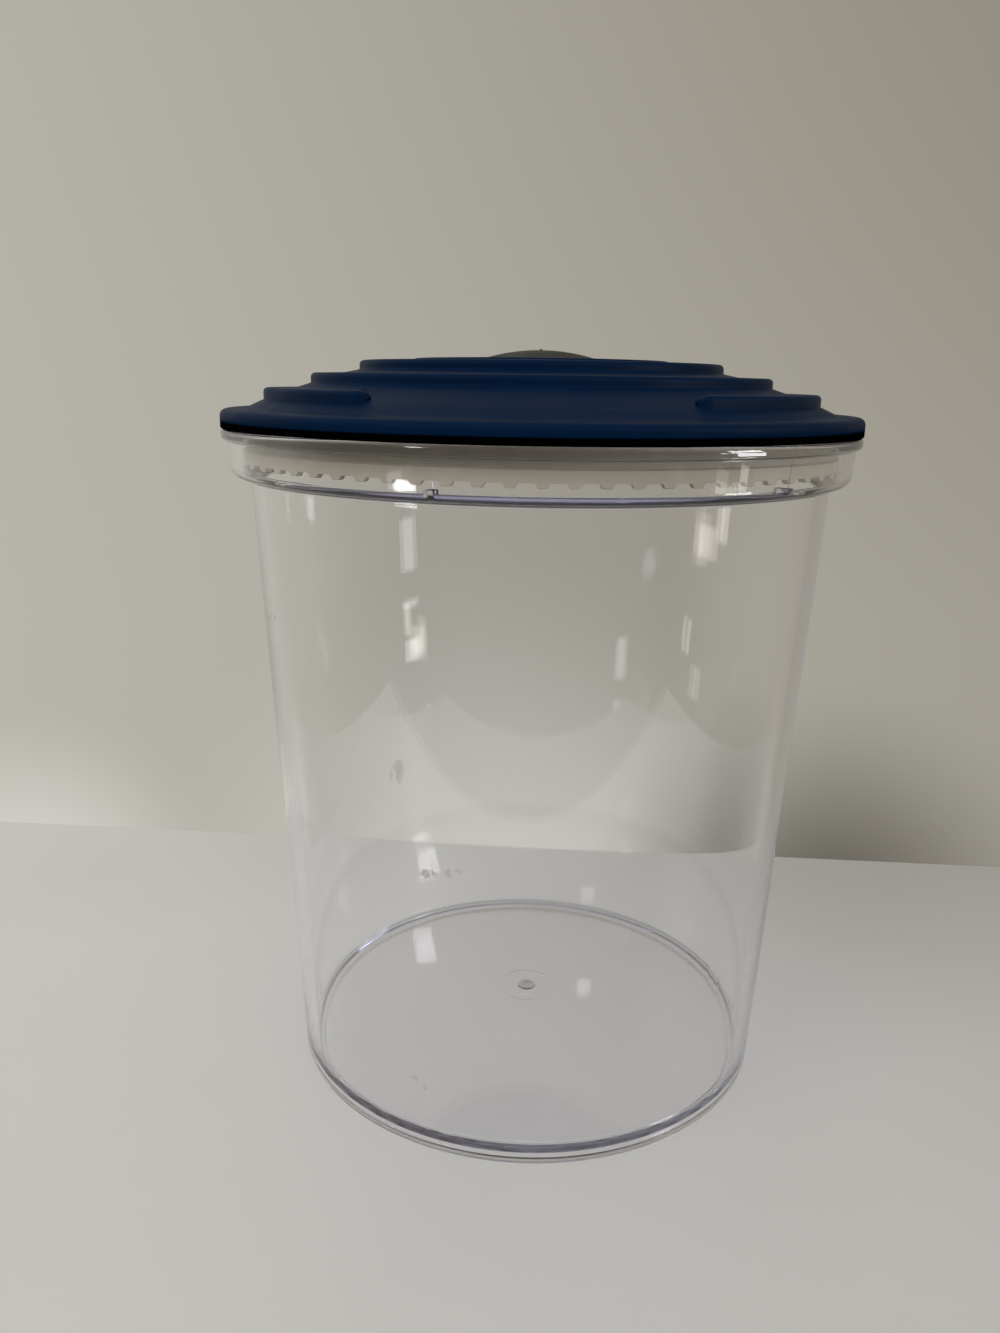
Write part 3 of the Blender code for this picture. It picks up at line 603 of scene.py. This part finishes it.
def navy_plastic():
    """Satin moulded plastic with a fine texture, slight mottling and faint rubs, and painted shade at the foot
    of the flange's edge.
    """
    shader = Shader("navy_plastic", IOR=1.5)
    mottle = shader.noise(45.0, detail=4.0)
    rubs = shader.hairlines(60.0, width=0.008, cover=0.58)
    roughness = shader.over_noise(mottle, low=0.42, high=0.54)
    polish = shader.maths("MULTIPLY", rubs, RUB_POLISH)
    shader.drive("Roughness", shader.maths("SUBTRACT", roughness, polish))
    texture = shader.grain(2600.0, depth=0.012 * MM)
    shader.drive("Normal", shader.bump(rubs, depth=0.01 * MM, under=texture))
    # Painted shade: the flange's edge is painted black at its foot, where it turns under into shade, and has no
    # sheen there.
    height = shader.height()
    unshaded_share = shader.spread(height, *UNDER_SHADE_HEIGHTS)
    shader.drive("Base Color", shader.blend(unshaded_share, UNDER_SHADE_TONE, shader.blend(mottle, *NAVY_TONES)))
    shader.drive("Specular IOR Level", shader.spread(height, *SHEEN_SHADE_HEIGHTS, 0.0, SHEEN))
    return shader.material


def soft_rubber(name, tones):
    """Matte silicone with a fine bloom and a few paler dusty places."""
    shader = Shader(name, IOR=1.43)
    dust = shader.spread(shader.noise(160.0, detail=4.0), *DUST_SPAN)
    shader.drive("Base Color", shader.blend(dust, *tones))
    shader.drive("Roughness", shader.over_noise(shader.noise(90.0, detail=3.0), low=0.5, high=0.65))
    shader.drive("Normal", shader.grain(1900.0, depth=0.01 * MM))
    return shader.material


def valve_plastic():
    """Plain pale moulded plastic, slightly mottled."""
    shader = Shader("valve_plastic", IOR=1.5)
    mottle = shader.noise(70.0, detail=3.0)
    shader.drive("Base Color", shader.blend(mottle, *VALVE_TONES))
    shader.drive("Roughness", shader.over_noise(mottle, low=0.35, high=0.45))
    shader.drive("Normal", shader.grain(2400.0, depth=0.008 * MM))
    return shader.material


def bright_steel():
    """Drawn and rolled steel, with fine marks along its length and a little staining."""
    shader = Shader("bright_steel", Metallic=1.0)
    stain = shader.noise(260.0, detail=3.0)
    shader.drive("Base Color", shader.blend(stain, *STEEL_TONES))
    shader.drive("Roughness", shader.over_noise(stain, low=0.2, high=0.34))
    shader.drive("Normal", shader.grain(3200.0, depth=0.006 * MM, stretch=(1, 1, 6)))
    return shader.material


# Pieces

def jar_mesh():
    """The clear moulding, with the gate's mark in its floor and the lugs on its ledge."""
    wall_top_z = LEDGE_Z - SHOULDER_THICKNESS
    collar_foot_radius = COLLAR_RADIUS - COLLAR_DRAFT
    wall_top_radius = collar_foot_radius - SHOULDER_STEP
    base_radius = wall_top_radius - BODY_TAPER
    lip_foot_z = BODY_HEIGHT - LIP_HEIGHT
    lug_tip = collar_inner(LEDGE_Z) - LUG_LENGTH
    floor_top = low_dome(FLOOR_RADIUS - FLOOR_BAND, FLOOR_EDGE, FLOOR_RISE)
    gate_foot = GATE_RADIUS + GATE_HEIGHT
    witness = [WITNESS_RADIUS + side * WITNESS_WIDTH / 2 for side in (-1, 0, 1)]
    gate_foot_z, *witness_z = np.interp([gate_foot, *witness], *zip(*floor_top))
    foot_inner = base_radius - FOOT_WIDTH
    middle_z = FLOOR_EDGE + FLOOR_RISE
    under_rise = middle_z - FLOOR_THICKNESS - FOOT_HEIGHT
    points = outline([
        (0, middle_z + GATE_DIMPLE_HEIGHT),
        (GATE_DIMPLE_FLAT, middle_z + GATE_DIMPLE_HEIGHT, GATE_HEIGHT),
        (GATE_DIMPLE_EDGE, middle_z + GATE_HEIGHT, GATE_HEIGHT),
        (GATE_RADIUS, middle_z + GATE_HEIGHT, GATE_HEIGHT),
        (gate_foot, gate_foot_z, GATE_HEIGHT / 2),
        (witness[0], witness_z[0]),
        (witness[1], witness_z[1] - WITNESS_DEPTH),
        (witness[2], witness_z[2]),
        *[point for point in floor_top if point[0] > witness[2] + WITNESS_WIDTH],
        (FLOOR_RADIUS, FLOOR_EDGE, FLOOR_FILLET),
        (wall_top_radius - BODY_WALL, LEDGE_Z - LEDGE_DROP, LEDGE_ROUND),
        (collar_inner(LEDGE_Z), LEDGE_Z, COLLAR_FOOT_FILLET),
        (MOUTH_RADIUS, BODY_HEIGHT, LIP_HEIGHT / 4),
        (LIP_RADIUS, BODY_HEIGHT, LIP_HEIGHT / 2),
        (LIP_RADIUS, lip_foot_z, LIP_HEIGHT / 2),
        (COLLAR_RADIUS, lip_foot_z, LIP_HEIGHT / 8),
        (collar_foot_radius, wall_top_z, COLLAR_CORNER),
        (wall_top_radius, wall_top_z, LEDGE_FILLET),
        (base_radius, 0, FOOT_FILLET),
        (foot_inner, 0, FOOT_HEIGHT / 2),
        *reversed(low_dome(foot_inner, FOOT_HEIGHT, under_rise)),
    ], False)
    # The lugs rise from the ledge: the outline gets points at their tips, and is lifted at their angles.
    for radius in (lug_tip, lug_tip + LUG_TIP_SLOPE):
        inside = points[:np.argmax(points[:, 0])]
        place = np.searchsorted(inside[:, 0], radius)
        points = np.insert(points, place, (radius, np.interp(radius, *inside.T)), axis=0)
    steps = np.array(LUG_SIDE_STEPS) * LUG_SIDE_SLOPE
    sides = np.concatenate([steps - LUG_WIDTH / 2, steps + LUG_WIDTH / 2]) / collar_inner(LEDGE_Z)
    lug_angles = LUG_FIRST_ANGLE + np.arange(LUG_COUNT) * TURN / LUG_COUNT
    angles = np.concatenate([even_angles(STEPS), (lug_angles[:, None] + sides).ravel() % TURN])
    angles = np.unique(angles.round(9))
    away = np.abs((angles[:, None] - lug_angles + math.pi) % TURN - math.pi).min(axis=1)
    side_share = ease(0.5 - (away * collar_inner(LEDGE_Z) - LUG_WIDTH / 2) / (2 * LUG_SIDE_SLOPE))
    inside = np.arange(len(points)) < np.argmax(points[:, 0])
    tip_share = ease((points[:, 0] - lug_tip) / LUG_TIP_SLOPE) * inside
    rise = np.maximum(LEDGE_Z + LUG_HEIGHT - points[:, 1], 0) * tip_share
    lifted = np.repeat(points[None], len(angles), axis=0)
    lifted[..., 1] += rise * side_share[:, None]
    return skin("jar_clear", around(lifted, angles), False)


def slope_z(radius):
    """The height of the slope between the first ring's foot and the second's."""
    return FOOT_1 + (FOOT_2 - FOOT_1) * (RING_1 - radius) / RING_WIDTHS[0]


def first_ring_mesh():
    """The outermost ring, open at the front, which narrows at each end and closes in a rounded nose."""
    top = FOOT_1 + RING_RISES[0]
    middle = np.array([RING_1 - NOSE_WIDTH / 2, FOOT_1 + RING_RISES[0] / 2])
    span = TURN - 2 * OPENING_HALF_ANGLE
    nose, fade = NOSE_LENGTH / middle[0], FADE_LENGTH / middle[0]
    # Each station is an angle, the share of the way from the full width to the nose's, and a share of size.
    quarter = np.linspace(NOSE_START, math.pi / 2, NOSE_STEPS)
    start = [(nose * (1 - math.cos(a)), 1, math.sin(a)) for a in quarter]
    shares = np.linspace(0, 1, NOSE_STEPS + 1)[1:]
    start += [(nose + fade * share, 1 - float(ease(share)), 1) for share in shares]
    along = [(angle, 0, 1) for angle in np.linspace(nose + fade, span - nose - fade, STEPS)[1:-1]]
    stations = start + along + [(span - angle, *rest) for angle, *rest in reversed(start)]
    sections = []
    for _, drawn_share, size_share in stations:
        inner = (RING_2 - OVERRUN) * (1 - drawn_share) + (RING_1 - NOSE_WIDTH) * drawn_share
        points = outline([
            (inner, slope_z(inner) - drawn_share * OVERRUN / 2),
            (RING_1 - TREAD_SHARE * (RING_1 - inner), top + TREAD_RISE, TREAD_FILLET),
            (RING_1, top, RING_FILLET),
            (RING_1, FOOT_1 - OVERRUN),
            (inner, slope_z(inner) - OVERRUN),
        ], True)
        sections.append(middle + (points - middle) * size_share)
    length = min(len(points) for points in sections)
    sections = np.array([even_rows(points, length) for points in sections])
    angles = np.array([OPENING_HALF_ANGLE + angle for angle, _, _ in stations])
    return skin("first_ring", around(sections, angles), True, full_turn=False)


def even_rows(points, length):
    """The closed outline with exactly length points, by leaving out those nearest to their neighbours."""
    while len(points) > length:
        gaps = np.linalg.norm(points - np.roll(points, 1, axis=0), axis=1)
        points = np.delete(points, np.argmin(gaps), axis=0)
    return points


def lid_mesh():
    """The navy moulding: the turned shell with its vents cut out, and the first ring on it."""
    ring_2_top = FOOT_2 + RING_RISES[1]
    ring_3_top = FOOT_3 + RING_RISES[2]
    floor_top = RIM_Z - WELL_DEPTH
    floor_under = floor_top - WELL_FLOOR
    bore = STEM_RADIUS + SEAT_GAP
    guide = bore + GUIDE_WALL
    well_outer = WELL_RADIUS + WELL_WALL
    seat_outer = SEAT_INNER + SEAT_WIDTH
    skirt_inner = SKIRT_RADIUS - SKIRT_WALL
    shell = turned("lid_shell", [
        (bore, floor_top + GUIDE_HEIGHT),
        (guide, floor_top + GUIDE_HEIGHT),
        (guide, floor_top, SEAT_GAP),
        (WELL_RADIUS, floor_top, WELL_FILLET),
        (WELL_RADIUS, RIM_Z, WELL_FILLET),
        (PLATEAU_RADIUS, PLATEAU_FOOT + PLATEAU_STEP, PLATEAU_STEP),
        (PLATEAU_RADIUS + PLATEAU_STEP, PLATEAU_FOOT, PLATEAU_STEP),
        (RING_3, ring_3_top, RING_FILLET),
        (RING_3, FOOT_3, ROOT_FILLET),
        (RING_2 - TREAD_SHARE * RING_WIDTHS[1], ring_2_top + TREAD_RISE, TREAD_FILLET),
        (RING_2, ring_2_top, RING_FILLET),
        (RING_2, FOOT_2, ROOT_FILLET),
        (RING_1, FOOT_1, SLOPE_FILLET),
        (LIP_RADIUS - SHELF_FOOT, FLANGE_Z + FLANGE_THICKNESS + SHELF_SLOPE, SLOPE_FILLET / 2),
        (LIP_RADIUS, FLANGE_Z + FLANGE_THICKNESS, FLANGE_THICKNESS / 2),
        (LIP_RADIUS, FLANGE_Z - RIM_DROP, FLANGE_THICKNESS / 6),
        (LIP_RADIUS - RIM_WIDTH, FLANGE_Z - RIM_DROP),
        (LIP_RADIUS - RIM_WIDTH - RIM_DROP, FLANGE_Z),
        (SKIRT_RADIUS, FLANGE_Z),
        (SKIRT_RADIUS, BEAD_TOP),
        (SKIRT_RADIUS + BEAD_REACH, BEAD_TOP, SEAT_GAP),
        (SKIRT_RADIUS + BEAD_REACH, SKIRT_BOTTOM, ROOT_FILLET),
        (skirt_inner, SKIRT_BOTTOM, ROOT_FILLET),
        (skirt_inner, slope_z(skirt_inner) - LID_WALL, ROOT_FILLET),
        (RING_2 - LID_WALL, FOOT_2 - LID_WALL, ROOT_FILLET),
        (RING_2 - LID_WALL, ring_2_top - LID_WALL, ROOT_FILLET),
        (RING_3 - LID_WALL, FOOT_3 - LID_WALL, ROOT_FILLET),
        (RING_3 - LID_WALL, ring_3_top - LID_WALL, ROOT_FILLET),
        (well_outer, RIM_Z - LID_WALL, WELL_FILLET),
        (well_outer, floor_under, WELL_FILLET),
        (seat_outer, floor_under),
        (seat_outer, floor_under - SEAT_HEIGHT, SEAT_GAP),
        (SEAT_INNER, floor_under - SEAT_HEIGHT, SEAT_GAP),
        (SEAT_INNER, floor_under),
        (bore, floor_under),
    ], True, STEPS)
    vents = bmesh.new()
    for i in range(VENT_COUNT):
        place = (VENT_CIRCLE, 0, floor_top - WELL_FLOOR / 2)
        matrix = Matrix.Rotation(TURN * i / VENT_COUNT, 4, "Z") @ Matrix.Translation(place)
        bmesh.ops.create_cone(
            vents, cap_ends=True, segments=VENT_SIDES, radius1=VENT_RADIUS, radius2=VENT_RADIUS,
            depth=WELL_FLOOR + 2 * OVERRUN, matrix=matrix,
        )
    cutter = bpy.data.meshes.new("vents")
    vents.to_mesh(cutter)
    vents.free()
    return joined("lid_navy", [cut(shell, cutter), first_ring_mesh()])


def gasket_mesh():
    """The soft ring, hooked round the skirt's bead. Its underside steps down at each tooth."""
    top = FLANGE_Z - SEAT_GAP
    step = TOOTH_ROOT + GASKET_BAND
    band = collar_inner(TOOTH_TIP) - SEAT_GAP
    upper = band - GASKET_RECESS
    skirt_side = SKIRT_RADIUS + SEAT_GAP
    bead_side = SKIRT_RADIUS + BEAD_REACH + SEAT_GAP
    points = outline([
        (skirt_side, top, SEAT_GAP),
        (upper, top, GASKET_RECESS / 2),
        (upper, step + GASKET_RECESS / 2, SEAT_GAP / 2),
        (band, step, SEAT_GAP),
        (band, TOOTH_TIP, SEAT_GAP / 2),
        (bead_side, TOOTH_TIP, SEAT_GAP / 2),
        (bead_side, TOOTH_ROOT),
        (skirt_side, TOOTH_ROOT, SEAT_GAP),
        (skirt_side, SKIRT_BOTTOM - SEAT_GAP, SEAT_GAP / 2),
        (bead_side, SKIRT_BOTTOM - SEAT_GAP),
        (bead_side, BEAD_TOP + SEAT_GAP),
        (skirt_side, BEAD_TOP + SEAT_GAP),
    ], True)
    tip = np.array(TOOTH_TIP_SHARES) * TOOTH_HALF_TIP
    flank = TOOTH_HALF_TIP + (TOOTH_HALF_ROOT - TOOTH_HALF_TIP) * np.array(TOOTH_FLANK_SHARES)
    side = np.concatenate([tip, flank])
    across = np.concatenate([-side[:0:-1], side])
    past = np.clip(np.abs(across) - TOOTH_HALF_TIP + TOOTH_CORNER, 0, TOOTH_CORNER)
    corner = TOOTH_CORNER * (1 - np.sqrt(np.clip(1 - (past / TOOTH_CORNER) ** 2, 0, 1)))
    flank_share = ease((np.abs(across) - TOOTH_HALF_TIP) / (TOOTH_HALF_ROOT - TOOTH_HALF_TIP))
    lift = corner + (TOOTH_DEPTH - corner) * flank_share
    pitches = (np.arange(TOOTH_COUNT) + 0.5) * TURN / TOOTH_COUNT
    angles = (pitches[:, None] + across / band).ravel()
    lifts = np.tile(lift, TOOTH_COUNT)
    raised = np.repeat(points[None], len(angles), axis=0)
    # Only points below the root move. They keep their order between the lifted tip and the root.
    low_share = np.clip((TOOTH_ROOT - points[:, 1]) / TOOTH_DEPTH, 0, 1)
    raised[..., 1] = points[:, 1] + lifts[:, None] * low_share
    return skin("gasket_soft", around(raised, angles), True)


def button_mesh():
    """The soft cap, hooked under the plunger's edge, with a nib on top."""
    centre = RIM_Z + BUTTON_PROUD - BUTTON_DOME
    outside = dome(BUTTON_DOME, centre, BUTTON_RADIUS)
    inner_radius = BUTTON_RADIUS - BUTTON_WALL
    inside = dome(BUTTON_DOME - BUTTON_WALL, centre, inner_radius)
    hook_top = PLUNGER_UNDER - SEAT_GAP
    hook_bottom = hook_top - BUTTON_HOOK_THICKNESS
    apex = RIM_Z + BUTTON_PROUD
    return turned("button_soft", [
        (0, apex + NIB_HEIGHT),
        (NIB_RADIUS / 2, apex + NIB_HEIGHT, NIB_RADIUS / 4),
        (NIB_RADIUS, apex, NIB_RADIUS / 4),
        *outside[1:-1],
        (*outside[-1], BUTTON_FILLET),
        (BUTTON_RADIUS, hook_bottom, BUTTON_FILLET),
        (inner_radius - BUTTON_HOOK, hook_bottom, SEAT_GAP),
        (inner_radius - BUTTON_HOOK, hook_top, SEAT_GAP),
        (inner_radius, hook_top),
        *reversed(inside),
    ], False)


def plunger_mesh():
    """The hard disc under the cap, with a cup for the spring's end and a bored stem."""
    cup_inner = SPRING_RADIUS + SPRING_WIRE / 2 + SPRING_SIDE_GAP
    cup_outer = cup_inner + GUIDE_WALL
    bore = SCREW_RADIUS + SEAT_GAP
    bore_top = POPPET_BOTTOM + SCREW_LENGTH
    return turned("plunger", [
        *dome(BUTTON_DOME - BUTTON_WALL - SEAT_GAP, RIM_Z + BUTTON_PROUD - BUTTON_DOME, PLUNGER_EDGE_RADIUS),
        (PLUNGER_EDGE_RADIUS, PLUNGER_UNDER, SEAT_GAP),
        (cup_outer, PLUNGER_UNDER),
        (cup_outer, PLUNGER_UNDER - SPRING_WIRE * 2, SEAT_GAP),
        (cup_inner, PLUNGER_UNDER - SPRING_WIRE * 2, SEAT_GAP),
        (cup_inner, PLUNGER_UNDER),
        (STEM_RADIUS, PLUNGER_UNDER),
        (STEM_RADIUS, STEM_BOTTOM, SEAT_GAP),
        (bore, STEM_BOTTOM, SEAT_GAP),
        (bore, bore_top),
        (0, bore_top),
    ], False)


def spring_mesh():
    """The compression spring, with a close turn at each end."""
    bottom, top = SPRING_BOTTOM + SPRING_WIRE / 2, SPRING_TOP - SPRING_WIRE / 2
    turns = np.linspace(0, SPRING_TURNS, SPRING_TURNS * WIRE_STEPS + 1)
    heights = (bottom, bottom + SPRING_END_PITCH, top - SPRING_END_PITCH, top)
    height = np.interp(turns, (0, 1, SPRING_TURNS - 1, SPRING_TURNS), heights)
    wire = even_angles(WIRE_SIDES)
    sections = np.stack(np.broadcast_arrays(
        SPRING_RADIUS + SPRING_WIRE / 2 * np.cos(wire), height[:, None] + SPRING_WIRE / 2 * np.sin(wire)
    ), axis=-1)
    return skin("spring", around(sections, TURN * (turns + SPRING_START_SHARE)), True, full_turn=False)


def seal_mesh():
    """The soft washer under the vents."""
    top = STEM_BOTTOM + SEAL_THICKNESS
    outer = SEAT_INNER + SEAT_WIDTH + SEAL_OVERLAP
    return turned("seal_soft", [
        (STEM_RADIUS + SEAT_GAP, top, SEAT_GAP),
        (outer, top, SEAL_THICKNESS / 4),
        (outer, STEM_BOTTOM, SEAL_THICKNESS / 4),
        (STEM_RADIUS + SEAT_GAP, STEM_BOTTOM, SEAT_GAP),
    ], True)


def poppet_mesh():
    """The hard disc that carries the washer."""
    top = STEM_BOTTOM - SEAT_GAP
    outer = SEAT_INNER + SEAT_WIDTH + SEAL_OVERLAP + POPPET_RIM
    hub = SCREW_HEAD_RADIUS + POPPET_RIM
    return turned("poppet", [
        (SCREW_RADIUS + SEAT_GAP, top),
        (outer, top, POPPET_THICKNESS / 4),
        (outer, top - POPPET_THICKNESS / 2, POPPET_THICKNESS / 4),
        (hub + POPPET_THICKNESS, top - POPPET_THICKNESS / 2, POPPET_THICKNESS / 4),
        (hub, POPPET_BOTTOM, POPPET_THICKNESS / 4),
        (SCREW_RADIUS + SEAT_GAP, POPPET_BOTTOM),
    ], True)


def screw_mesh():
    """The pan head screw, with a cross recess."""
    seat = POPPET_BOTTOM - SEAT_GAP
    head = seat - SCREW_HEAD_HEIGHT
    screw = turned("screw", [
        (0, seat + SCREW_LENGTH),
        (SCREW_RADIUS / 2, seat + SCREW_LENGTH),
        (SCREW_RADIUS, seat + SCREW_LENGTH - SCREW_RADIUS),
        (SCREW_RADIUS, seat),
        (SCREW_HEAD_RADIUS, seat),
        (SCREW_HEAD_RADIUS, head, SCREW_HEAD_HEIGHT / 2),
        (0, head),
    ], False)
    for angle in (0, TURN / 4):
        bar = bmesh.new()
        size = Matrix.Diagonal((RECESS_LENGTH, RECESS_WIDTH, 2 * RECESS_DEPTH, 1))
        bmesh.ops.create_cube(
            bar, size=1, matrix=Matrix.Translation((0, 0, head)) @ Matrix.Rotation(angle, 4, "Z") @ size
        )
        cutter = bpy.data.meshes.new("recess")
        bar.to_mesh(cutter)
        bar.free()
        screw = cut(screw, cutter)
    return screw


def dress():
    """Makes every piece."""
    navy = navy_plastic()
    olive = soft_rubber("gasket_rubber", GASKET_TONES)
    dark = soft_rubber("button_rubber", BUTTON_TONES)
    pale = valve_plastic()
    steel = bright_steel()
    piece("jar_clear", jar_mesh(), clear_plastic(), "jar", "canister_body")
    piece("lid_navy", lid_mesh(), navy, "lid", "lid_shell")
    piece("gasket_soft", gasket_mesh(), olive, "lid", "lid_gasket")
    piece("button_soft", button_mesh(), dark, "valve", "valve_button")
    piece("plunger", plunger_mesh(), pale, "valve", "valve_plunger")
    piece("seal_soft", seal_mesh(), dark, "valve", "valve_seal")
    piece("poppet", poppet_mesh(), pale, "valve", "valve_poppet")
    piece("screw", screw_mesh(), steel, "valve", "poppet_screw")
    spring = piece("spring", spring_mesh(), steel, "lid", "valve_spring")
    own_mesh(spring)


# Stage, lamps and camera. The photograph is taken a little to the right of the lid's opening, so all of these
# are placed in its axes and turned with it. Azimuths are from the front towards +X, and elevations go up.

PHOTO_TURN = Matrix.Rotation(math.radians(3.6), 4, "Z")
CAMERA_PLACE = (-9.39 * MM, -285.7 * MM, 185.3 * MM)
CAMERA_DOWN = 15.03             # degrees below level
CAMERA_ROLL = 0.825             # degrees
CAMERA_LENS = 28.754            # millimetres
# Lamps: name, azimuth and elevation in degrees, distance and size in metres, and power in watts
LAMPS = (
    ("key", -48, 40, 1.8, 1.0, 20.0),
    ("fill", 30, 34, 1.5, 0.8, 8.0),
    ("front", 28, 5, 1.5, 1.0, 2.8),
    ("wall_bounce", -145, 25, 0.6, 0.4, 0.9),
)
# Panes: name, the place on the jar where its reflection shows in millimetres, azimuth, elevation and spans
# in degrees, strength, and a colour where it isn't white
WARM = (1.0, 0.93, 0.83)
PANES = (
    ("left_upper", (-29, -67, 153), -51.9, -14.2, (5.5, 3.6), 1.8),
    ("left_bar", (-28, -67, 140), -51.9, -17.3, (5.5, 0.5), 2.2),
    ("left_lower", (-28, -67, 130), -51.4, -19.8, (5.5, 1.5), 3.0),
    ("left_sky", (14, 46, 6), -41.0, 39.5, (6.0, 4.0), 24.0),
    ("right_upper", (32, -66, 157), 63.4, -13.2, (5.0, 3.6), 1.3, WARM),
    ("right_side", (37, -65, 158), 72.6, -11.9, (3.5, 2.6), 3.0, WARM),
    ("right_collar", (36, -71, 167), 66.0, -14.2, (9.0, 2.2), 2.0, WARM),
    ("right_line", (30, -66, 133), 60.9, -18.2, (1.6, 2.4), 2.5, WARM),
    ("right_lower", (33, -65, 124), 67.0, -20.6, (3.0, 2.2), 1.2, WARM),
    ("right_sill", (-41, 57, 148), 65.2, -0.1, (10.6, 2.4), 12.0),
    ("right_sky", (-39, 50, 18), 64.0, 23.0, (11.0, 12.5), 14.0),
)
BOARD_SIZE = (600 * MM, 354 * MM, 18 * MM)
BOARD_MIDDLE_Y = -56 * MM
BOARD_TURN = Matrix.Rotation(math.radians(-4.2), 4, "Z")
BOARD_EDGE = 1.5 * MM
BOARD_EDGE_STEPS = 4
BOARD_GAP = 0.05 * MM           # under the foot, so that the two surfaces don't coincide
PANE_DISTANCE = 750 * MM
# The surroundings' tones. Each fade is between two values of the direction's X, Y or Z.
WALL_TONE = (0.497, 0.48, 0.43)
RIGHT_HIGH_TONE = (0.24, 0.218, 0.168)
RIGHT_LOW_TONE = (0.335, 0.315, 0.268)
FRONT_TONE = (0.045, 0.039, 0.035)
RIGHT_FADE = (-0.65, 0.55)
LOW_FADE = (0.3, -0.2)
WALL_FADE = (-0.35, 0.15)
# Two soft glows and the shadow on the wall: direction, spread and tone
WALL_SPOTS = (
    ((-0.05, 0.88, -0.47), 0.35, (0.62, 0.605, 0.55)),
    ((-0.45, 0.78, -0.43), 0.18, (0.69, 0.685, 0.63)),
    ((0.24, 0.86, -0.45), 0.22, (0.12, 0.11, 0.09)),
)
LIGHT_BOUNCES = 48              # light runs a long way inside the floor and the foot


def board():
    """The plain pale board that the canister stands on."""
    shape = bmesh.new()
    place = Matrix.Translation((0, BOARD_MIDDLE_Y, -BOARD_SIZE[2] / 2 - BOARD_GAP))
    place = PHOTO_TURN @ BOARD_TURN @ place
    bmesh.ops.create_cube(shape, size=1, matrix=place @ Matrix.Diagonal((*BOARD_SIZE, 1)))
    bmesh.ops.bevel(
        shape, geom=shape.edges[:], offset=BOARD_EDGE, segments=BOARD_EDGE_STEPS, profile=0.5, affect="EDGES"
    )
    mesh = bpy.data.meshes.new("board")
    shape.to_mesh(mesh)
    shape.free()
    smooth(mesh)
    obj = bpy.data.objects.new("board", mesh)
    bpy.context.scene.collection.objects.link(obj)
    shader = Shader("board_white", IOR=1.45)
    mottle = shader.noise(14.0, detail=3.0)
    shader.drive("Base Color", shader.blend(mottle, *BOARD_TONES))
    shader.drive("Roughness", shader.over_noise(mottle, low=0.45, high=0.55))
    shader.drive("Normal", shader.grain(500.0, depth=0.01 * MM, detail=3.0))
    mesh.materials.append(shader.material)


def room():
    """Plain soft surroundings by direction: a pale wall, lighter at the left, and a dim room in front."""
    world = bpy.data.worlds.new("room")
    bpy.context.scene.world = world
    world.use_nodes = True
    graph = Graph(world.node_tree)
    direction = graph.nodes.new("ShaderNodeTexCoord").outputs["Generated"]
    split = graph.nodes.new("ShaderNodeSeparateXYZ")
    graph.links.new(direction, split.inputs["Vector"])

    def fade(axis, span):
        return graph.spread(split.outputs[axis], *span, easing="LINEAR")

    right = graph.blend(fade("Z", LOW_FADE), RIGHT_HIGH_TONE, RIGHT_LOW_TONE)
    wall = graph.blend(fade("X", RIGHT_FADE), WALL_TONE, right)
    for middle, reach, tone in WALL_SPOTS:
        wall = graph.blend(graph.spread(graph.distance(direction, middle), reach, 0), wall, tone)
    colour = graph.blend(fade("Y", WALL_FADE), FRONT_TONE, wall)
    graph.links.new(colour, graph.nodes["Background"].inputs["Color"])


def rectangle(name, size, power, place, aim, colour=(1, 1, 1)):
    """A lamp in the photograph's axes, which the camera itself doesn't see."""
    data = bpy.data.lights.new(name, "AREA")
    data.shape = "RECTANGLE"
    data.size, data.size_y = size
    data.energy = power
    data.color = colour
    obj = bpy.data.objects.new(name, data)
    bpy.context.scene.collection.objects.link(obj)
    obj.location = PHOTO_TURN @ place
    obj.rotation_euler = (PHOTO_TURN @ (place - aim)).to_track_quat("Z", "Y").to_euler()
    obj.visible_camera = False
    return obj


def toward(azimuth, elevation):
    """The direction at an azimuth and an elevation in degrees."""
    turn, lift = math.radians(azimuth), math.radians(elevation)
    return Vector((math.sin(turn) * math.cos(lift), -math.cos(turn) * math.cos(lift), math.sin(lift)))


def lamp(name, azimuth, elevation, distance, size, power):
    """A soft box for the light itself. Gloss and clear plastic don't show it: the panes are for that."""
    aim = Vector((0, 0, BODY_HEIGHT / 2))
    obj = rectangle(name, (size, size), power, aim + toward(azimuth, elevation) * distance, aim)
    obj.visible_glossy = False
    obj.visible_transmission = False


def pane(name, shows_at, azimuth, elevation, spans, strength, colour=(1, 1, 1)):
    """A window's pane, seen only in gloss and through clear plastic. It stands in the given direction from
    the place on the jar, and spans so many degrees across and up from there."""
    size = [PANE_DISTANCE * math.radians(span) for span in spans]
    aim = Vector(shows_at) * MM
    power = strength * math.pi * size[0] * size[1]
    obj = rectangle(name, size, power, aim + toward(azimuth, elevation) * PANE_DISTANCE, aim, colour)
    obj.visible_diffuse = False


def camera():
    """The camera at the photograph's place, fitted to the canister's outlines there."""
    data = bpy.data.cameras.new("camera")
    data.lens = CAMERA_LENS
    obj = bpy.data.objects.new("camera", data)
    bpy.context.scene.collection.objects.link(obj)
    pitch = Matrix.Rotation(math.radians(90 - CAMERA_DOWN), 4, "X")
    roll = Matrix.Rotation(math.radians(CAMERA_ROLL), 4, "Z")
    obj.matrix_world = PHOTO_TURN @ Matrix.Translation(CAMERA_PLACE) @ (pitch @ roll)
    bpy.context.scene.camera = obj


dress()
board()
room()
for row in LAMPS:
    lamp(*row)
for row in PANES:
    pane(*row)
camera()
bpy.context.scene.view_settings.view_transform = "Standard"
cycles = bpy.context.scene.cycles
cycles.max_bounces = cycles.glossy_bounces = cycles.transmission_bounces = LIGHT_BOUNCES
